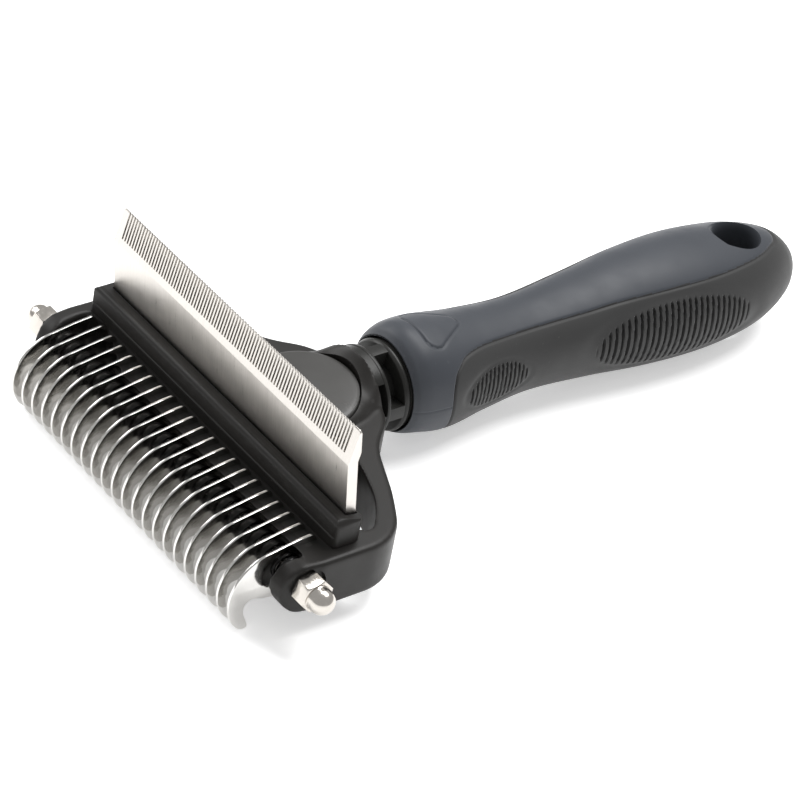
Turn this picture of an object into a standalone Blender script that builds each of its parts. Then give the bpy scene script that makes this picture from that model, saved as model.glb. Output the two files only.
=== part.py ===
"""Undercoat rake: a T-shaped grooming tool with a row of curved rake blades and a deshedding comb.

+X runs along the head, +Y along the handle to its hanging end and +Z is up. The tool lies on its
rake blades and on the belly of the handle, so z = 0 is the surface it rests on and x = 0 is its
plane of symmetry. Lengths below are in millimetres and become metres through MM. While the pieces
are made, y = 0 is the comb's front face; at the end the tool is centred on y = 0.
"""

import math

import bmesh
import bpy
from mathutils import Matrix, Vector

MM = 0.001

# Clearances
GAP = 0.3            # between pieces that touch
BORE_GAP = 0.35      # round a rod in its bore
CUT = 1.0            # how far a cutter runs past the face it opens

# Deshedding comb
COMB_LENGTH = 100.0
COMB_LEAN = math.radians(8)
COMB_THICKNESS = 2.9
COMB_PLATE = 15.5    # straight plate above the holder
COMB_BAND = 9.1      # ground band above the plate
COMB_SETBACK = 3.4   # how far the ground face leans back to the tooth tips
COMB_FLARE = 0.85    # how far the back swells above the plate
COMB_TANG = 5.6      # plate inside the holder
SLOTS = 87
SLOT_WIDTH = 0.56
SLOT_DEPTH = 6.7
END_TOOTH = 2.5

# Comb holder
HOLDER_WALL = 3.0    # past each end of the comb
HOLDER_FRONT = 4.6
HOLDER_BACK = 1.5    # behind the comb
COMB_SEAT = 0.7      # foot of the comb's straight plate below the holder's top
HOLDER_HEIGHT = 7.3
HOLDER_FALL = 1.0    # how much lower the rear lip is than the front lip
HOLDER_END = 3.2     # rounding of its upright corners
HOLDER_SLOPE = 2.4   # rounding of its upper ends

# Rake
RAKE_BLADES = 22
RAKE_INSET = 2.25    # middle of the outermost blade inside the comb's end
RAKE_THICKNESS = 1.0
RAKE_REACH = 16.3    # rod axis to the foremost edge
RAKE_DROP = 15.1     # rod axis to the lowest edge, which stands on the surface
RAKE_HUB = 7.8       # round the rod
RAKE_SETOFF = 13.2   # rod axis in front of the comb
ROD_RADIUS = 2.5
SPACER_WALL = 1.3    # beyond the rod
NUT_WALL = 1.5       # rod to the nut's flats
NUT_HEX = 4.6
DOME_WALL = 1.1      # rod to the side of the nut's dome
NUT_HEIGHT = 10.0
NUT_CROWN = 3.2      # solid end of the nut beyond the rod
NUT_SEAT = 1.0       # depth of the round seat in the arm
NUT_SEAT_GAP = 0.45

# Head frame
FRAME_RISE = 5.9     # rod axis to the top face
FRAME_DROP = 8.4     # rod axis to the bottom face
ARM_WALL = 4.8
BAY_MARGIN = 1.6     # comb's end to the inner face of an arm
ARM_FRONT = 19.6     # how far the arms reach in front of the comb
ARM_CURL = 2.2       # how far an arm's front end turns inwards
CURL_AT_ROD = 0.75   # share of that turn on the front of the end sleeve
SHOULDER_Y = 4.8     # where an arm's side starts to turn into the shoulder
SHOULDER_RADIUS = 15.0
SHOULDER_TURN = 58   # degrees
BAY_REAR = -4.4
BAY_CORNER = 3.0
FRAME_EDGE = 1.3     # rounding of the frame's edges

# Windows through the frame, behind the comb
WINDOW_FRONT = 5.6
WINDOW_MARGIN = 6.4  # outer end to the arm's side
HUB_RIM = 1.8        # inner end to the hub

# Hub of the frame, which rises to the neck
HUB_WIDTH = 17.2
HUB_START = 6.5
HUB_SLOPE = math.radians(8)
HUB_END = 40.4
HUB_FLARE = 0.9      # end of the hub beyond the neck
COVER_Y = 23.0
COVER_RADIUS = 15.1
COVER_THICKNESS = 2.0
COVER_SUNK = 0.2

# Neck
AXIS_RISE = 1.3      # rod axis to the axis of handle and neck
NECK_RADIUS = 12.2
NECK_CORE = 7.4
FRONT_ROW = 2.3      # length of the front row of windows
MID_RING = 1.2
REAR_ROW = 3.4       # length of the rear row of windows
REAR_WINDOWS = 4
REAR_RIB = 18.0      # degrees
SOCKET_LENGTH = 3.1  # from the rear row to the mouth of the handle
SOCKET_SEAT = 0.6    # how far the socket sinks into the mouth
SPIGOT_RADIUS = 8.6
SPIGOT_LENGTH = 9.0
FLANGE_RADIUS = 10.4
FLANGE_LENGTH = 2.5

# Handle
HANDLE_LENGTH = 139.4
HANDLE_SIDES = 20
HANDLE_RINGS = 18
SHELL_BOX = 34.0     # reach of the boxes that divide the handle, beyond its thickest point
GRIP_SKIN = 2.8
SHELL_WALL = 3.0
HOLE_INSET = 21.3    # hanging hole to the handle's end
HOLE_RADIUS = 6.2
HOLE_FLARE = 2.3
HOLE_FLARE_DEPTH = 3.0
PARTING_DROP = 0.4   # parting plane below the axis
CAVITY_MARGIN = 6.0  # neck's spigot to the hollow in the shells
CAVITY_END = 15.0    # hollow to the hanging hole

# What follows from those sizes
ROD_Y = -RAKE_SETOFF
ROD_Z = RAKE_DROP
FRAME_TOP = ROD_Z + FRAME_RISE
FRAME_BOTTOM = ROD_Z - FRAME_DROP
AXIS_Z = ROD_Z + AXIS_RISE
PARTING_Z = AXIS_Z - PARTING_DROP
SPACER_RADIUS = ROD_RADIUS + SPACER_WALL
NUT_FLATS = 2 * (ROD_RADIUS + NUT_WALL)
NUT_DOME = ROD_RADIUS + DOME_WALL
HOLDER_REAR = COMB_THICKNESS + HOLDER_BACK
RAKE_PITCH = (COMB_LENGTH - 2 * RAKE_INSET) / (RAKE_BLADES - 1)
HOLDER_LENGTH = COMB_LENGTH + 2 * HOLDER_WALL
HOLDER_BASE = FRAME_TOP + GAP
HOLDER_TOP = HOLDER_BASE + HOLDER_HEIGHT
COMB_FOOT_Z = HOLDER_TOP - COMB_SEAT
ARM_INNER = COMB_LENGTH / 2 + BAY_MARGIN
ARM_OUTER = ARM_INNER + ARM_WALL
WINDOW_INNER = HUB_WIDTH + HUB_RIM
WINDOW_OUTER = ARM_OUTER - WINDOW_MARGIN
HUB_END_RADIUS = NECK_RADIUS + HUB_FLARE
ROD_END = ARM_OUTER - NUT_SEAT + NUT_HEIGHT - NUT_CROWN
MID_RING_Y = HUB_END + FRONT_ROW
REAR_ROW_Y = MID_RING_Y + MID_RING
SOCKET_Y = REAR_ROW_Y + REAR_ROW
MOUTH_Y = SOCKET_Y + SOCKET_LENGTH
HOLE_Y = MOUTH_Y + HANDLE_LENGTH - HOLE_INSET

# (share of the handle's length, half width, rise above the axis, drop below the axis)
HANDLE_STATIONS = (
    (0.0, NECK_RADIUS + 0.7, NECK_RADIUS + 0.9, NECK_RADIUS + 0.4),
    (0.012, NECK_RADIUS + 1.8, NECK_RADIUS + 2.5, NECK_RADIUS + 1.0),
    (0.035, NECK_RADIUS + 2.7, NECK_RADIUS + 3.6, NECK_RADIUS + 1.6),
    (0.085, 15.5, 15.3, 15.5),
    (0.126, 15.1, 14.3, 15.8),
    (0.19, 13.9, 13.1, 14.6),
    (0.305, 12.8, 12.2, 13.2),
    (0.445, 14.3, 13.9, 14.2),
    (0.58, 16.5, 16.0, 15.9),
    (0.70, 17.5, 16.4, 16.4),
    (0.80, 16.8, 15.3, 15.6),
    (0.875, 14.8, 13.7, 13.8),
    (0.943, 10.8, 10.5, 10.2),
    (0.98, 6.6, 6.5, 6.4),
    (1.0, 1.8, 1.8, 1.8),
)

# Edge between the hard shells and the soft grip in the side view:
# (share of the handle's length, height above the axis)
GRIP_EDGE = (
    (0.106, -19.4),
    (0.098, -11.9),
    (0.085, -4.4),
    (0.080, 2.1),
    (0.084, 6.1),
    (0.098, 8.8),
    (0.141, 10.6),
    (0.291, 9.9),
    (0.406, 10.5),
    (0.530, 11.7),
    (0.657, 12.1),
    (0.815, 11.8),
    (0.894, 11.4),
    (0.940, 10.9),
    (1.050, 11.8),
)

# Far edge of a window: (share of the window's width, distance behind its front edge)
WINDOW_EDGE = (
    (1.0, 3.0),
    (0.968, 5.0),
    (0.848, 8.2),
    (0.694, 11.2),
    (0.50, 13.6),
    (0.29, 15.6),
    (0.10, 16.6),
    (0.0, 14.0),
)

# Rear edge of the frame between shoulder and hub: (share of the way out from the hub, y)
SHOULDER_EDGE = (
    (0.74, 19.9),
    (0.61, 22.9),
    (0.44, 26.2),
    (0.295, 29.2),
    (0.20, 32.4),
    (0.10, 37.0),
    (0.02, 39.4),
)

# Inward turn of the arms: (share of the turn, y)
ARM_BEND = (
    (0.0, -9.0),
    (0.25, -13.0),
    (0.6, -16.5),
    (1.0, -ARM_FRONT),
    (1.1, -ARM_FRONT - CUT),
)

# Windows of the neck's front row: (degrees from the top, width in degrees)
FRONT_WINDOWS = (
    (68, 42),
    (128, 42),
    (180, 26),
    (232, 42),
    (292, 42),
)

# Outline of a rake blade about the rod: the hook as shares of its reach and drop, and the hub as
# shares of its radius
HOOK_OUTLINE = (
    (-0.20, 0.44),
    (-0.56, 0.35),
    (-0.84, 0.11),
    (-0.98, -0.21),
    (-0.985, -0.51),
    (-0.89, -0.79),
    (-0.745, -0.965),
    (-0.625, -1.0),
    (-0.58, -0.945),
    (-0.635, -0.81),
    (-0.70, -0.63),
    (-0.675, -0.485),
    (-0.55, -0.43),
    (-0.33, -0.49),
)
HUB_OUTLINE = (
    (0.0, -1.0),
    (0.62, -0.79),
    (1.0, -0.25),
    (1.04, 0.45),
    (0.84, 0.96),
    (0.50, 1.0),
)


def clear_scene():
    for obj in list(bpy.data.objects):
        bpy.data.objects.remove(obj, do_unlink=True)


def new_collection(name):
    collection = bpy.data.collections.new(name)
    bpy.context.scene.collection.children.link(collection)
    return collection


def new_material(name, colour, roughness, metallic=0.0):
    material = bpy.data.materials.new(name)
    material.use_nodes = True
    shader = material.node_tree.nodes["Principled BSDF"]
    shader.inputs["Base Color"].default_value = (*colour, 1.0)
    shader.inputs["Roughness"].default_value = roughness
    shader.inputs["Metallic"].default_value = metallic
    return material


clear_scene()
PARTS = new_collection("undercoat_rake")
CUTTERS = new_collection("cutters")

BLACK_PLASTIC = new_material("black_plastic", (0.028, 0.027, 0.026), 0.42)
COVER_PLASTIC = new_material("cover_plastic", (0.075, 0.074, 0.072), 0.30)
SLATE_PLASTIC = new_material("slate_plastic", (0.082, 0.094, 0.112), 0.45)
GRIP_RUBBER = new_material("grip_rubber", (0.055, 0.055, 0.053), 0.62)
NECK_PLASTIC = new_material("neck_plastic", (0.050, 0.049, 0.047), 0.50)
SPACER_PLASTIC = new_material("spacer_plastic", (0.020, 0.020, 0.020), 0.22)
BRUSHED_STEEL = new_material("brushed_steel", (0.52, 0.49, 0.46), 0.36, 1.0)
POLISHED_STEEL = new_material("polished_steel", (0.62, 0.61, 0.59), 0.12, 1.0)
NICKEL = new_material("nickel", (0.68, 0.66, 0.62), 0.10, 1.0)


def add_object(name, mesh, material=None):
    """Links a piece, which has a material, or a cutter, which has none."""
    obj = bpy.data.objects.new(name, mesh)
    if material:
        PARTS.objects.link(obj)
        mesh.materials.clear()
        mesh.materials.append(material)
    else:
        CUTTERS.objects.link(obj)
        obj.hide_render = True
        obj.display_type = "WIRE"
    return obj


def mesh_from_bmesh(name, bm):
    bmesh.ops.recalc_face_normals(bm, faces=bm.faces)
    mesh = bpy.data.meshes.new(name)
    bm.to_mesh(mesh)
    bm.free()
    return mesh


def evaluated_mesh(obj):
    """A welded mesh of an object with its modifiers applied, in the object's own coordinates."""
    bpy.context.view_layer.update()
    graph = bpy.context.evaluated_depsgraph_get()
    mesh = bpy.data.meshes.new_from_object(obj.evaluated_get(graph))
    bm = bmesh.new()
    bm.from_mesh(mesh)
    bmesh.ops.remove_doubles(bm, verts=bm.verts, dist=0.00001)
    bmesh.ops.recalc_face_normals(bm, faces=bm.faces)
    bm.to_mesh(mesh)
    bm.free()
    return mesh


def to_mesh_object(obj, name, material=None):
    """Replaces an object by a plain mesh object of the same shape and place."""
    mesh = evaluated_mesh(obj)
    matrix = obj.matrix_world.copy()
    bpy.data.objects.remove(obj, do_unlink=True)
    new = add_object(name, mesh, material)
    new.matrix_world = matrix
    return new


def smooth(obj, angle=32):
    obj.data.shade_smooth()
    obj.data.set_sharp_from_angle(angle=math.radians(angle))


def box(name, low, high):
    """A cutter box between two corners in millimetres."""
    bm = bmesh.new()
    bmesh.ops.create_cube(bm, size=1.0)
    size = [(b - a) * MM for a, b in zip(low, high)]
    centre = [(a + b) / 2 * MM for a, b in zip(low, high)]
    bmesh.ops.transform(bm, matrix=Matrix.Diagonal((*size, 1.0)), verts=bm.verts)
    bmesh.ops.translate(bm, vec=Vector(centre), verts=bm.verts)
    return add_object(name, mesh_from_bmesh(name, bm))


def cylinder(name, radius, start, end, sides=32, radius_end=None, material=None):
    """A cylinder or cone between two points in millimetres."""
    axis = Vector(end) - Vector(start)
    bm = bmesh.new()
    bmesh.ops.create_cone(
        bm,
        cap_ends=True,
        segments=sides,
        radius1=radius * MM,
        radius2=(radius if radius_end is None else radius_end) * MM,
        depth=axis.length * MM,
    )
    obj = add_object(name, mesh_from_bmesh(name, bm), material)
    obj.rotation_mode = "QUATERNION"
    obj.rotation_quaternion = axis.to_track_quat("Z", "Y")
    obj.location = (Vector(start) + Vector(end)) / 2 * MM
    return obj


def outline_curve(name, splines, half_depth, edge=0.0):
    """A filled flat outline with a thickness. Each spline is (points in mm, cyclic type, resolution)."""
    curve = bpy.data.curves.new(name, "CURVE")
    curve.dimensions = "2D"
    curve.fill_mode = "BOTH"
    curve.extrude = (half_depth - edge) * MM
    curve.bevel_depth = edge * MM
    curve.bevel_resolution = 1
    curve.offset = -edge * MM
    for points, kind, resolution in splines:
        spline = curve.splines.new(kind)
        if kind == "BEZIER":
            spline.bezier_points.add(len(points) - 1)
            for point, (u, v) in zip(spline.bezier_points, points):
                point.co = (u * MM, v * MM, 0.0)
                point.handle_left_type = "AUTO"
                point.handle_right_type = "AUTO"
            spline.resolution_u = resolution
        else:
            spline.points.add(len(points) - 1)
            for point, (u, v) in zip(spline.points, points):
                point.co = (u * MM, v * MM, 0.0, 1.0)
        spline.use_cyclic_u = True
    obj = bpy.data.objects.new(name, curve)
    bpy.context.scene.collection.objects.link(obj)
    return obj


def plan_prism(name, points, low, high, edge=0.0):
    """An outline in the XY plane carried from z = low to z = high."""
    obj = outline_curve(name, [(points, "POLY", 1)], (high - low) / 2, edge)
    obj.location = (0.0, 0.0, (low + high) / 2 * MM)
    return to_mesh_object(obj, name)


def side_prism(name, points, half_width):
    """An outline in the YZ plane carried along X by half_width to each side."""
    obj = outline_curve(name, [(points, "POLY", 1)], half_width)
    obj.rotation_euler = (math.pi / 2, 0.0, math.pi / 2)
    return to_mesh_object(obj, name)


def front_prism(name, points, half_depth):
    """An outline in the XZ plane carried along Y by half_depth to each side."""
    obj = outline_curve(name, [(points, "POLY", 1)], half_depth)
    obj.rotation_euler = (math.pi / 2, 0.0, 0.0)
    return to_mesh_object(obj, name)


def arc(centre, radius, start, end, steps):
    """Points in mm along an arc, angles in degrees."""
    points = []
    for i in range(steps + 1):
        angle = math.radians(start + (end - start) * i / steps)
        points.append((centre[0] + radius * math.cos(angle), centre[1] + radius * math.sin(angle)))
    return points


def mirrored(points):
    """The points and their mirror images in x = 0, as one closed outline."""
    return list(points) + [(-x, y) for x, y in reversed(points)]


def boolean(obj, other, operation="DIFFERENCE"):
    modifier = obj.modifiers.new(other.name, "BOOLEAN")
    modifier.operation = operation
    modifier.solver = "EXACT"
    modifier.object = other
    return modifier


def applied(obj, name, material=None):
    """The object with its Booleans applied, under a new name."""
    obj.name = name + "_base"
    return to_mesh_object(obj, name, material)


def ring_surface(bm, rings):
    """Closes a stack of rings of equal counts into one solid."""
    loops = [[bm.verts.new(Vector(point) * MM) for point in ring] for ring in rings]
    count = len(loops[0])
    for first, second in zip(loops, loops[1:]):
        for i in range(count):
            j = (i + 1) % count
            bm.faces.new((first[i], first[j], second[j], second[i]))
    bm.faces.new(loops[0])
    bm.faces.new(loops[-1])


# ---------------------------------------------------------------- head frame


def shoulder_points():
    """The frame's outer edge from an arm's side to the hub, for +X."""
    centre = (ARM_OUTER - SHOULDER_RADIUS, SHOULDER_Y)
    turn = arc(centre, SHOULDER_RADIUS, 0, SHOULDER_TURN, 8)
    start = HUB_END_RADIUS + 1.0
    return turn + [(start + share * (ARM_OUTER - start), y) for share, y in SHOULDER_EDGE]


def frame_outline():
    half = arc((ARM_INNER - BAY_CORNER, BAY_REAR - BAY_CORNER), BAY_CORNER, 90, 0, 4)
    half += [(ARM_INNER - ARM_CURL * share, y) for share, y in ARM_BEND]
    half += [(ARM_OUTER - ARM_CURL * share, y) for share, y in reversed(ARM_BEND)]
    half += shoulder_points()
    half += [(HUB_END_RADIUS - 0.5, HUB_END)]
    return mirrored(half)


def window_points(side):
    width = WINDOW_OUTER - WINDOW_INNER
    far = [(WINDOW_INNER + share * width, WINDOW_FRONT + depth) for share, depth in WINDOW_EDGE]
    points = [(WINDOW_INNER, WINDOW_FRONT), (WINDOW_OUTER, WINDOW_FRONT)] + far
    return [(side * x, y) for x, y in points]


def arm_profile():
    """Side view of the frame: flat top and bottom with a round front end."""
    half = (FRAME_TOP - FRAME_BOTTOM) / 2
    middle = (FRAME_TOP + FRAME_BOTTOM) / 2
    front = arc((-ARM_FRONT + half, middle), half, 270, 90, 12)
    return front + [(HUB_END + CUT, FRAME_TOP), (HUB_END + CUT, FRAME_BOTTOM)]


def hub_ring(y, half_width, top, bottom, power, count=24):
    """A rounded section of the hub: power 2 is an ellipse, more is squarer."""
    middle = (top + bottom) / 2
    half_height = (top - bottom) / 2
    ring = []
    for i in range(count):
        angle = 2 * math.pi * i / count
        c = math.cos(angle)
        s = math.sin(angle)
        x = math.copysign(abs(c) ** (2 / power), c) * half_width
        z = math.copysign(abs(s) ** (2 / power), s) * half_height
        ring.append((x, y, middle + z))
    return ring


def hub_top(y):
    """Height of the sloping hub top, which holds the cover."""
    return FRAME_TOP + 0.2 + (y - HUB_START - 1.5) * math.tan(HUB_SLOPE)


def make_hub():
    """Lofted form of the hub: (y, half width, top, bottom, squareness) for each ring."""
    radius = HUB_END_RADIUS
    rings = (
        hub_ring(HUB_START, HUB_WIDTH, FRAME_TOP - 0.6, FRAME_BOTTOM + 0.4, 7),
        hub_ring(16.0, HUB_WIDTH, hub_top(16.0), FRAME_BOTTOM - 0.3, 6),
        hub_ring(26.0, HUB_WIDTH, hub_top(26.0), FRAME_BOTTOM - 1.0, 5),
        hub_ring(33.0, radius + 2.9, hub_top(33.0), FRAME_BOTTOM - 1.8, 3.6),
        hub_ring(37.5, radius + 0.9, hub_top(37.5) + 0.6, AXIS_Z - radius + 0.8, 2.6),
        hub_ring(HUB_END, radius, AXIS_Z + radius, AXIS_Z - radius, 2.0),
    )
    bm = bmesh.new()
    ring_surface(bm, rings)
    return add_object("hub_shape", mesh_from_bmesh("hub_shape", bm))


def make_frame():
    frame = plan_prism("frame_plan", frame_outline(), FRAME_BOTTOM, FRAME_TOP, FRAME_EDGE)
    boolean(frame, side_prism("arm_side_shape", arm_profile(), ARM_OUTER + CUT), "INTERSECT")
    boolean(frame, make_hub(), "UNION")
    for side in (-1, 1):
        window = plan_prism(f"window_cut_{side}", window_points(side), FRAME_BOTTOM - 5, FRAME_TOP + 5)
        boolean(frame, window)
        seat = cylinder(
            f"nut_seat_cut_{side}",
            NUT_FLATS / math.sqrt(3) + NUT_SEAT_GAP,
            (side * (ARM_OUTER - NUT_SEAT), ROD_Y, ROD_Z),
            (side * (ARM_OUTER + CUT), ROD_Y, ROD_Z),
        )
        boolean(frame, seat)
        bore = cylinder(
            f"arm_bore_cut_{side}",
            ROD_RADIUS + BORE_GAP,
            (side * (ARM_INNER - ARM_CURL - CUT), ROD_Y, ROD_Z),
            (side * (ARM_OUTER + CUT), ROD_Y, ROD_Z),
            20,
        )
        boolean(frame, bore)
    boolean(frame, cover_cutter())
    frame = applied(frame, "head_frame", BLACK_PLASTIC)
    smooth(frame)
    return frame


def cover_axis():
    """Centre of the cover's top face and the direction it faces."""
    normal = Vector((0.0, -math.sin(HUB_SLOPE), math.cos(HUB_SLOPE)))
    centre = Vector((0.0, COVER_Y, hub_top(COVER_Y) - COVER_SUNK))
    return centre, normal


def cover_cutter():
    centre, normal = cover_axis()
    start = centre - normal * (COVER_THICKNESS + GAP)
    end = centre + normal * (COVER_SUNK + CUT + 4.0)
    return cylinder("cover_seat_cut", COVER_RADIUS + GAP, start, end, 40)


def make_cover():
    centre, normal = cover_axis()
    start = centre - normal * COVER_THICKNESS
    cover = cylinder("hub_cover", COVER_RADIUS, start, centre, 40, material=COVER_PLASTIC)
    bevel = cover.modifiers.new("edge", "BEVEL")
    bevel.width = 0.4 * MM
    bevel.segments = 1
    smooth(cover)
    return cover


# ---------------------------------------------------------------- comb and its holder


def lean_matrix():
    """Turns and lifts the comb's own axes to its place in the holder."""
    return Matrix.Translation((0.0, 0.0, COMB_FOOT_Z * MM)) @ Matrix.Rotation(COMB_LEAN, 4, "X")


def comb_profile():
    top = COMB_PLATE + COMB_BAND
    back = COMB_THICKNESS + COMB_FLARE
    return [
        (0.0, -COMB_TANG),
        (COMB_THICKNESS, -COMB_TANG),
        (COMB_THICKNESS, COMB_PLATE),
        (back, COMB_PLATE + 2.4),
        (back, top - 1.2),
        (COMB_SETBACK + 0.1, top),
        (COMB_SETBACK - 0.3, top - 0.3),
        (0.0, COMB_PLATE),
    ]


def make_slot_cutter():
    """One mesh of thin boxes, one box for each slot between the comb's teeth."""
    pitch = (COMB_LENGTH - 2 * END_TOOTH - SLOT_WIDTH) / (SLOTS - 1)
    top = COMB_PLATE + COMB_BAND
    bm = bmesh.new()
    for i in range(SLOTS):
        x = (i - (SLOTS - 1) / 2) * pitch
        size = (SLOT_WIDTH, COMB_THICKNESS + COMB_FLARE + 2 * CUT, SLOT_DEPTH + CUT)
        centre = (x, size[1] / 2 - CUT, top + CUT - size[2] / 2)
        place = Matrix.Translation(Vector(centre) * MM)
        scale = Matrix.Diagonal((size[0] * MM, size[1] * MM, size[2] * MM, 1.0))
        bmesh.ops.create_cube(bm, size=1.0, matrix=place @ scale)
    cutter = add_object("slot_cut", mesh_from_bmesh("slot_cut", bm))
    cutter.matrix_world = lean_matrix()
    return cutter


def make_comb():
    comb = side_prism("comb_plate", comb_profile(), COMB_LENGTH / 2)
    comb.matrix_world = lean_matrix() @ comb.matrix_world
    boolean(comb, make_slot_cutter())
    return applied(comb, "deshedding_comb", BRUSHED_STEEL)


def make_holder():
    rear_top = HOLDER_TOP - HOLDER_FALL
    profile = [
        (-HOLDER_FRONT, HOLDER_BASE),
        (-HOLDER_FRONT, HOLDER_TOP - 1.6),
        (-HOLDER_FRONT + 0.6, HOLDER_TOP - 0.4),
        (-HOLDER_FRONT + 1.7, HOLDER_TOP),
        (HOLDER_REAR - 1.3, rear_top),
        (HOLDER_REAR - 0.3, rear_top - 1.0),
        (HOLDER_REAR, HOLDER_BASE),
    ]
    holder = side_prism("holder_bar", profile, HOLDER_LENGTH / 2)
    half = HOLDER_LENGTH / 2
    ends = arc((half - HOLDER_END, -HOLDER_FRONT + HOLDER_END), HOLDER_END, -90, 0, 5)
    ends += arc((half - HOLDER_END, HOLDER_REAR - HOLDER_END), HOLDER_END, 0, 90, 5)
    plan = plan_prism("holder_plan_shape", mirrored(ends), HOLDER_BASE - CUT, HOLDER_TOP + CUT)
    boolean(holder, plan, "INTERSECT")
    corner = arc((half - HOLDER_SLOPE, HOLDER_TOP - HOLDER_SLOPE), HOLDER_SLOPE, 0, 90, 4)
    face = mirrored([(half, HOLDER_BASE - CUT)] + corner)
    boolean(holder, front_prism("holder_face_shape", face, HOLDER_FRONT + CUT), "INTERSECT")
    boolean(holder, comb_slot_cutter())
    holder = applied(holder, "comb_holder", BLACK_PLASTIC)
    smooth(holder)
    return holder


def comb_slot_cutter():
    low = (-COMB_LENGTH / 2 - GAP, -GAP, -COMB_TANG - GAP)
    high = (COMB_LENGTH / 2 + GAP, COMB_THICKNESS + GAP, 6.0)
    slot = box("comb_slot_cut", low, high)
    slot.matrix_world = lean_matrix()
    return slot


# ---------------------------------------------------------------- rake


def rake_blade_outline():
    """Outline about the rod: forward is -u, up is v."""
    hook = [(RAKE_REACH * u, RAKE_DROP * v) for u, v in HOOK_OUTLINE]
    hub = [(RAKE_HUB * u, RAKE_HUB * v) for u, v in HUB_OUTLINE]
    return hook + hub


def make_rake_blades():
    hole = arc((0.0, 0.0), ROD_RADIUS + BORE_GAP, 0, 330, 11)
    splines = [(rake_blade_outline(), "BEZIER", 2), (hole, "POLY", 1)]
    pattern = outline_curve("rake_blade_pattern", splines, RAKE_THICKNESS / 2)
    pattern.rotation_euler = (math.pi / 2, 0.0, math.pi / 2)
    mesh = evaluated_mesh(pattern)
    bpy.data.objects.remove(pattern, do_unlink=True)
    for i in range(RAKE_BLADES):
        blade = add_object(f"rake_blade_{i + 1:02d}", mesh, POLISHED_STEEL)
        blade.rotation_euler = (math.pi / 2, 0.0, math.pi / 2)
        blade.location = Vector((blade_x(i), ROD_Y, ROD_Z)) * MM


def blade_x(i):
    return (i - (RAKE_BLADES - 1) / 2) * RAKE_PITCH


def spacer_profile_mesh(name, length):
    """Section of a sleeve that is turned about its own Z axis."""
    inner = (ROD_RADIUS + BORE_GAP) * MM
    outer = SPACER_RADIUS * MM
    half = length / 2 * MM
    corners = ((outer, half), (outer, -half), (inner, -half), (inner, half))
    mesh = bpy.data.meshes.new(name)
    mesh.from_pydata([(x, 0.0, z) for x, z in corners], [(0, 1), (1, 2), (2, 3), (3, 0)], [])
    return mesh


def make_spacer(name, length, x):
    guide = bpy.data.objects.new(name, spacer_profile_mesh(name, length))
    bpy.context.scene.collection.objects.link(guide)
    screw = guide.modifiers.new("turn", "SCREW")
    screw.steps = 12
    screw.render_steps = 12
    screw.use_merge_vertices = True
    screw.merge_threshold = 0.00001
    guide.rotation_euler = (0.0, math.pi / 2, 0.0)
    guide.location = Vector((x, ROD_Y, ROD_Z)) * MM
    bpy.context.view_layer.update()
    spacer = to_mesh_object(guide, name, SPACER_PLASTIC)
    smooth(spacer)
    return spacer


def make_spacers():
    length = RAKE_PITCH - RAKE_THICKNESS - 2 * GAP
    for i in range(RAKE_BLADES - 1):
        make_spacer(f"rake_spacer_{i + 1:02d}", length, (blade_x(i) + blade_x(i + 1)) / 2)
    inner = blade_x(RAKE_BLADES - 1) + RAKE_THICKNESS / 2 + GAP
    outer = ARM_INNER - ARM_CURL * CURL_AT_ROD - GAP
    for side, label in ((-1, "left"), (1, "right")):
        make_spacer(f"end_spacer_{label}", outer - inner, side * (inner + outer) / 2)


def make_rod():
    ends = (-ROD_END, ROD_Y, ROD_Z), (ROD_END, ROD_Y, ROD_Z)
    rod = cylinder("rake_rod", ROD_RADIUS, *ends, 20, material=NICKEL)
    smooth(rod)
    return rod


def dome_points():
    """Profile of the round end of a cap nut, from its rim to its crown, as (radius, height)."""
    centre = NUT_HEIGHT - NUT_DOME
    side = [(NUT_DOME, NUT_HEX - CUT), (NUT_DOME, centre)]
    return side + arc((0.0, centre), NUT_DOME, 15, 75, 4)


def make_nut(side, label):
    base = ARM_OUTER - NUT_SEAT + GAP
    bm = bmesh.new()
    rings = []
    for radius, height in dome_points():
        rings.append([(x, y, height) for x, y in arc((0.0, 0.0), radius, 0, 340, 17)])
    ring_surface(bm, rings)
    dome = add_object(f"dome_shape_{label}", mesh_from_bmesh("dome_shape", bm))
    hexagon = cylinder(f"nut_hex_{label}", NUT_FLATS / math.sqrt(3), (0, 0, 0), (0, 0, NUT_HEX), 6)
    bpy.context.view_layer.update()
    boolean(hexagon, dome, "UNION")
    reach = ROD_END - base + GAP
    bore = cylinder(f"nut_bore_cut_{label}", ROD_RADIUS + BORE_GAP, (0, 0, -CUT), (0, 0, reach), 16)
    boolean(hexagon, bore)
    nut = applied(hexagon, f"cap_nut_{label}", NICKEL)
    turn = Matrix.Rotation(side * math.pi / 2, 4, "Y")
    place = Matrix.Translation(Vector((side * base, ROD_Y, ROD_Z)) * MM)
    nut.matrix_world = place @ turn @ nut.matrix_world
    smooth(nut, 40)
    return nut


# ---------------------------------------------------------------- neck


def neck_disc(name, start, end, radius=NECK_RADIUS, sides=32):
    return cylinder(name, radius, (0, start, AXIS_Z), (0, end, AXIS_Z), sides)


def sector(name, start, end, angle, width):
    """A wedge-shaped cutter that opens one window. Angles in degrees from the top towards +X."""
    reach = NECK_RADIUS + 4 * CUT
    low = math.radians(angle - width / 2)
    high = math.radians(angle + width / 2)
    steps = 4
    inner = [low + (high - low) * i / steps for i in range(steps + 1)]
    rim = [(reach * math.sin(a), reach * math.cos(a)) for a in inner]
    root = [(NECK_CORE * math.sin(a), NECK_CORE * math.cos(a)) for a in reversed(inner)]
    ring = rim + root
    bm = bmesh.new()
    ring_surface(bm, [[(x, y, AXIS_Z + z) for x, z in ring] for y in (start, end)])
    return add_object(name, mesh_from_bmesh(name, bm))


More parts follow.
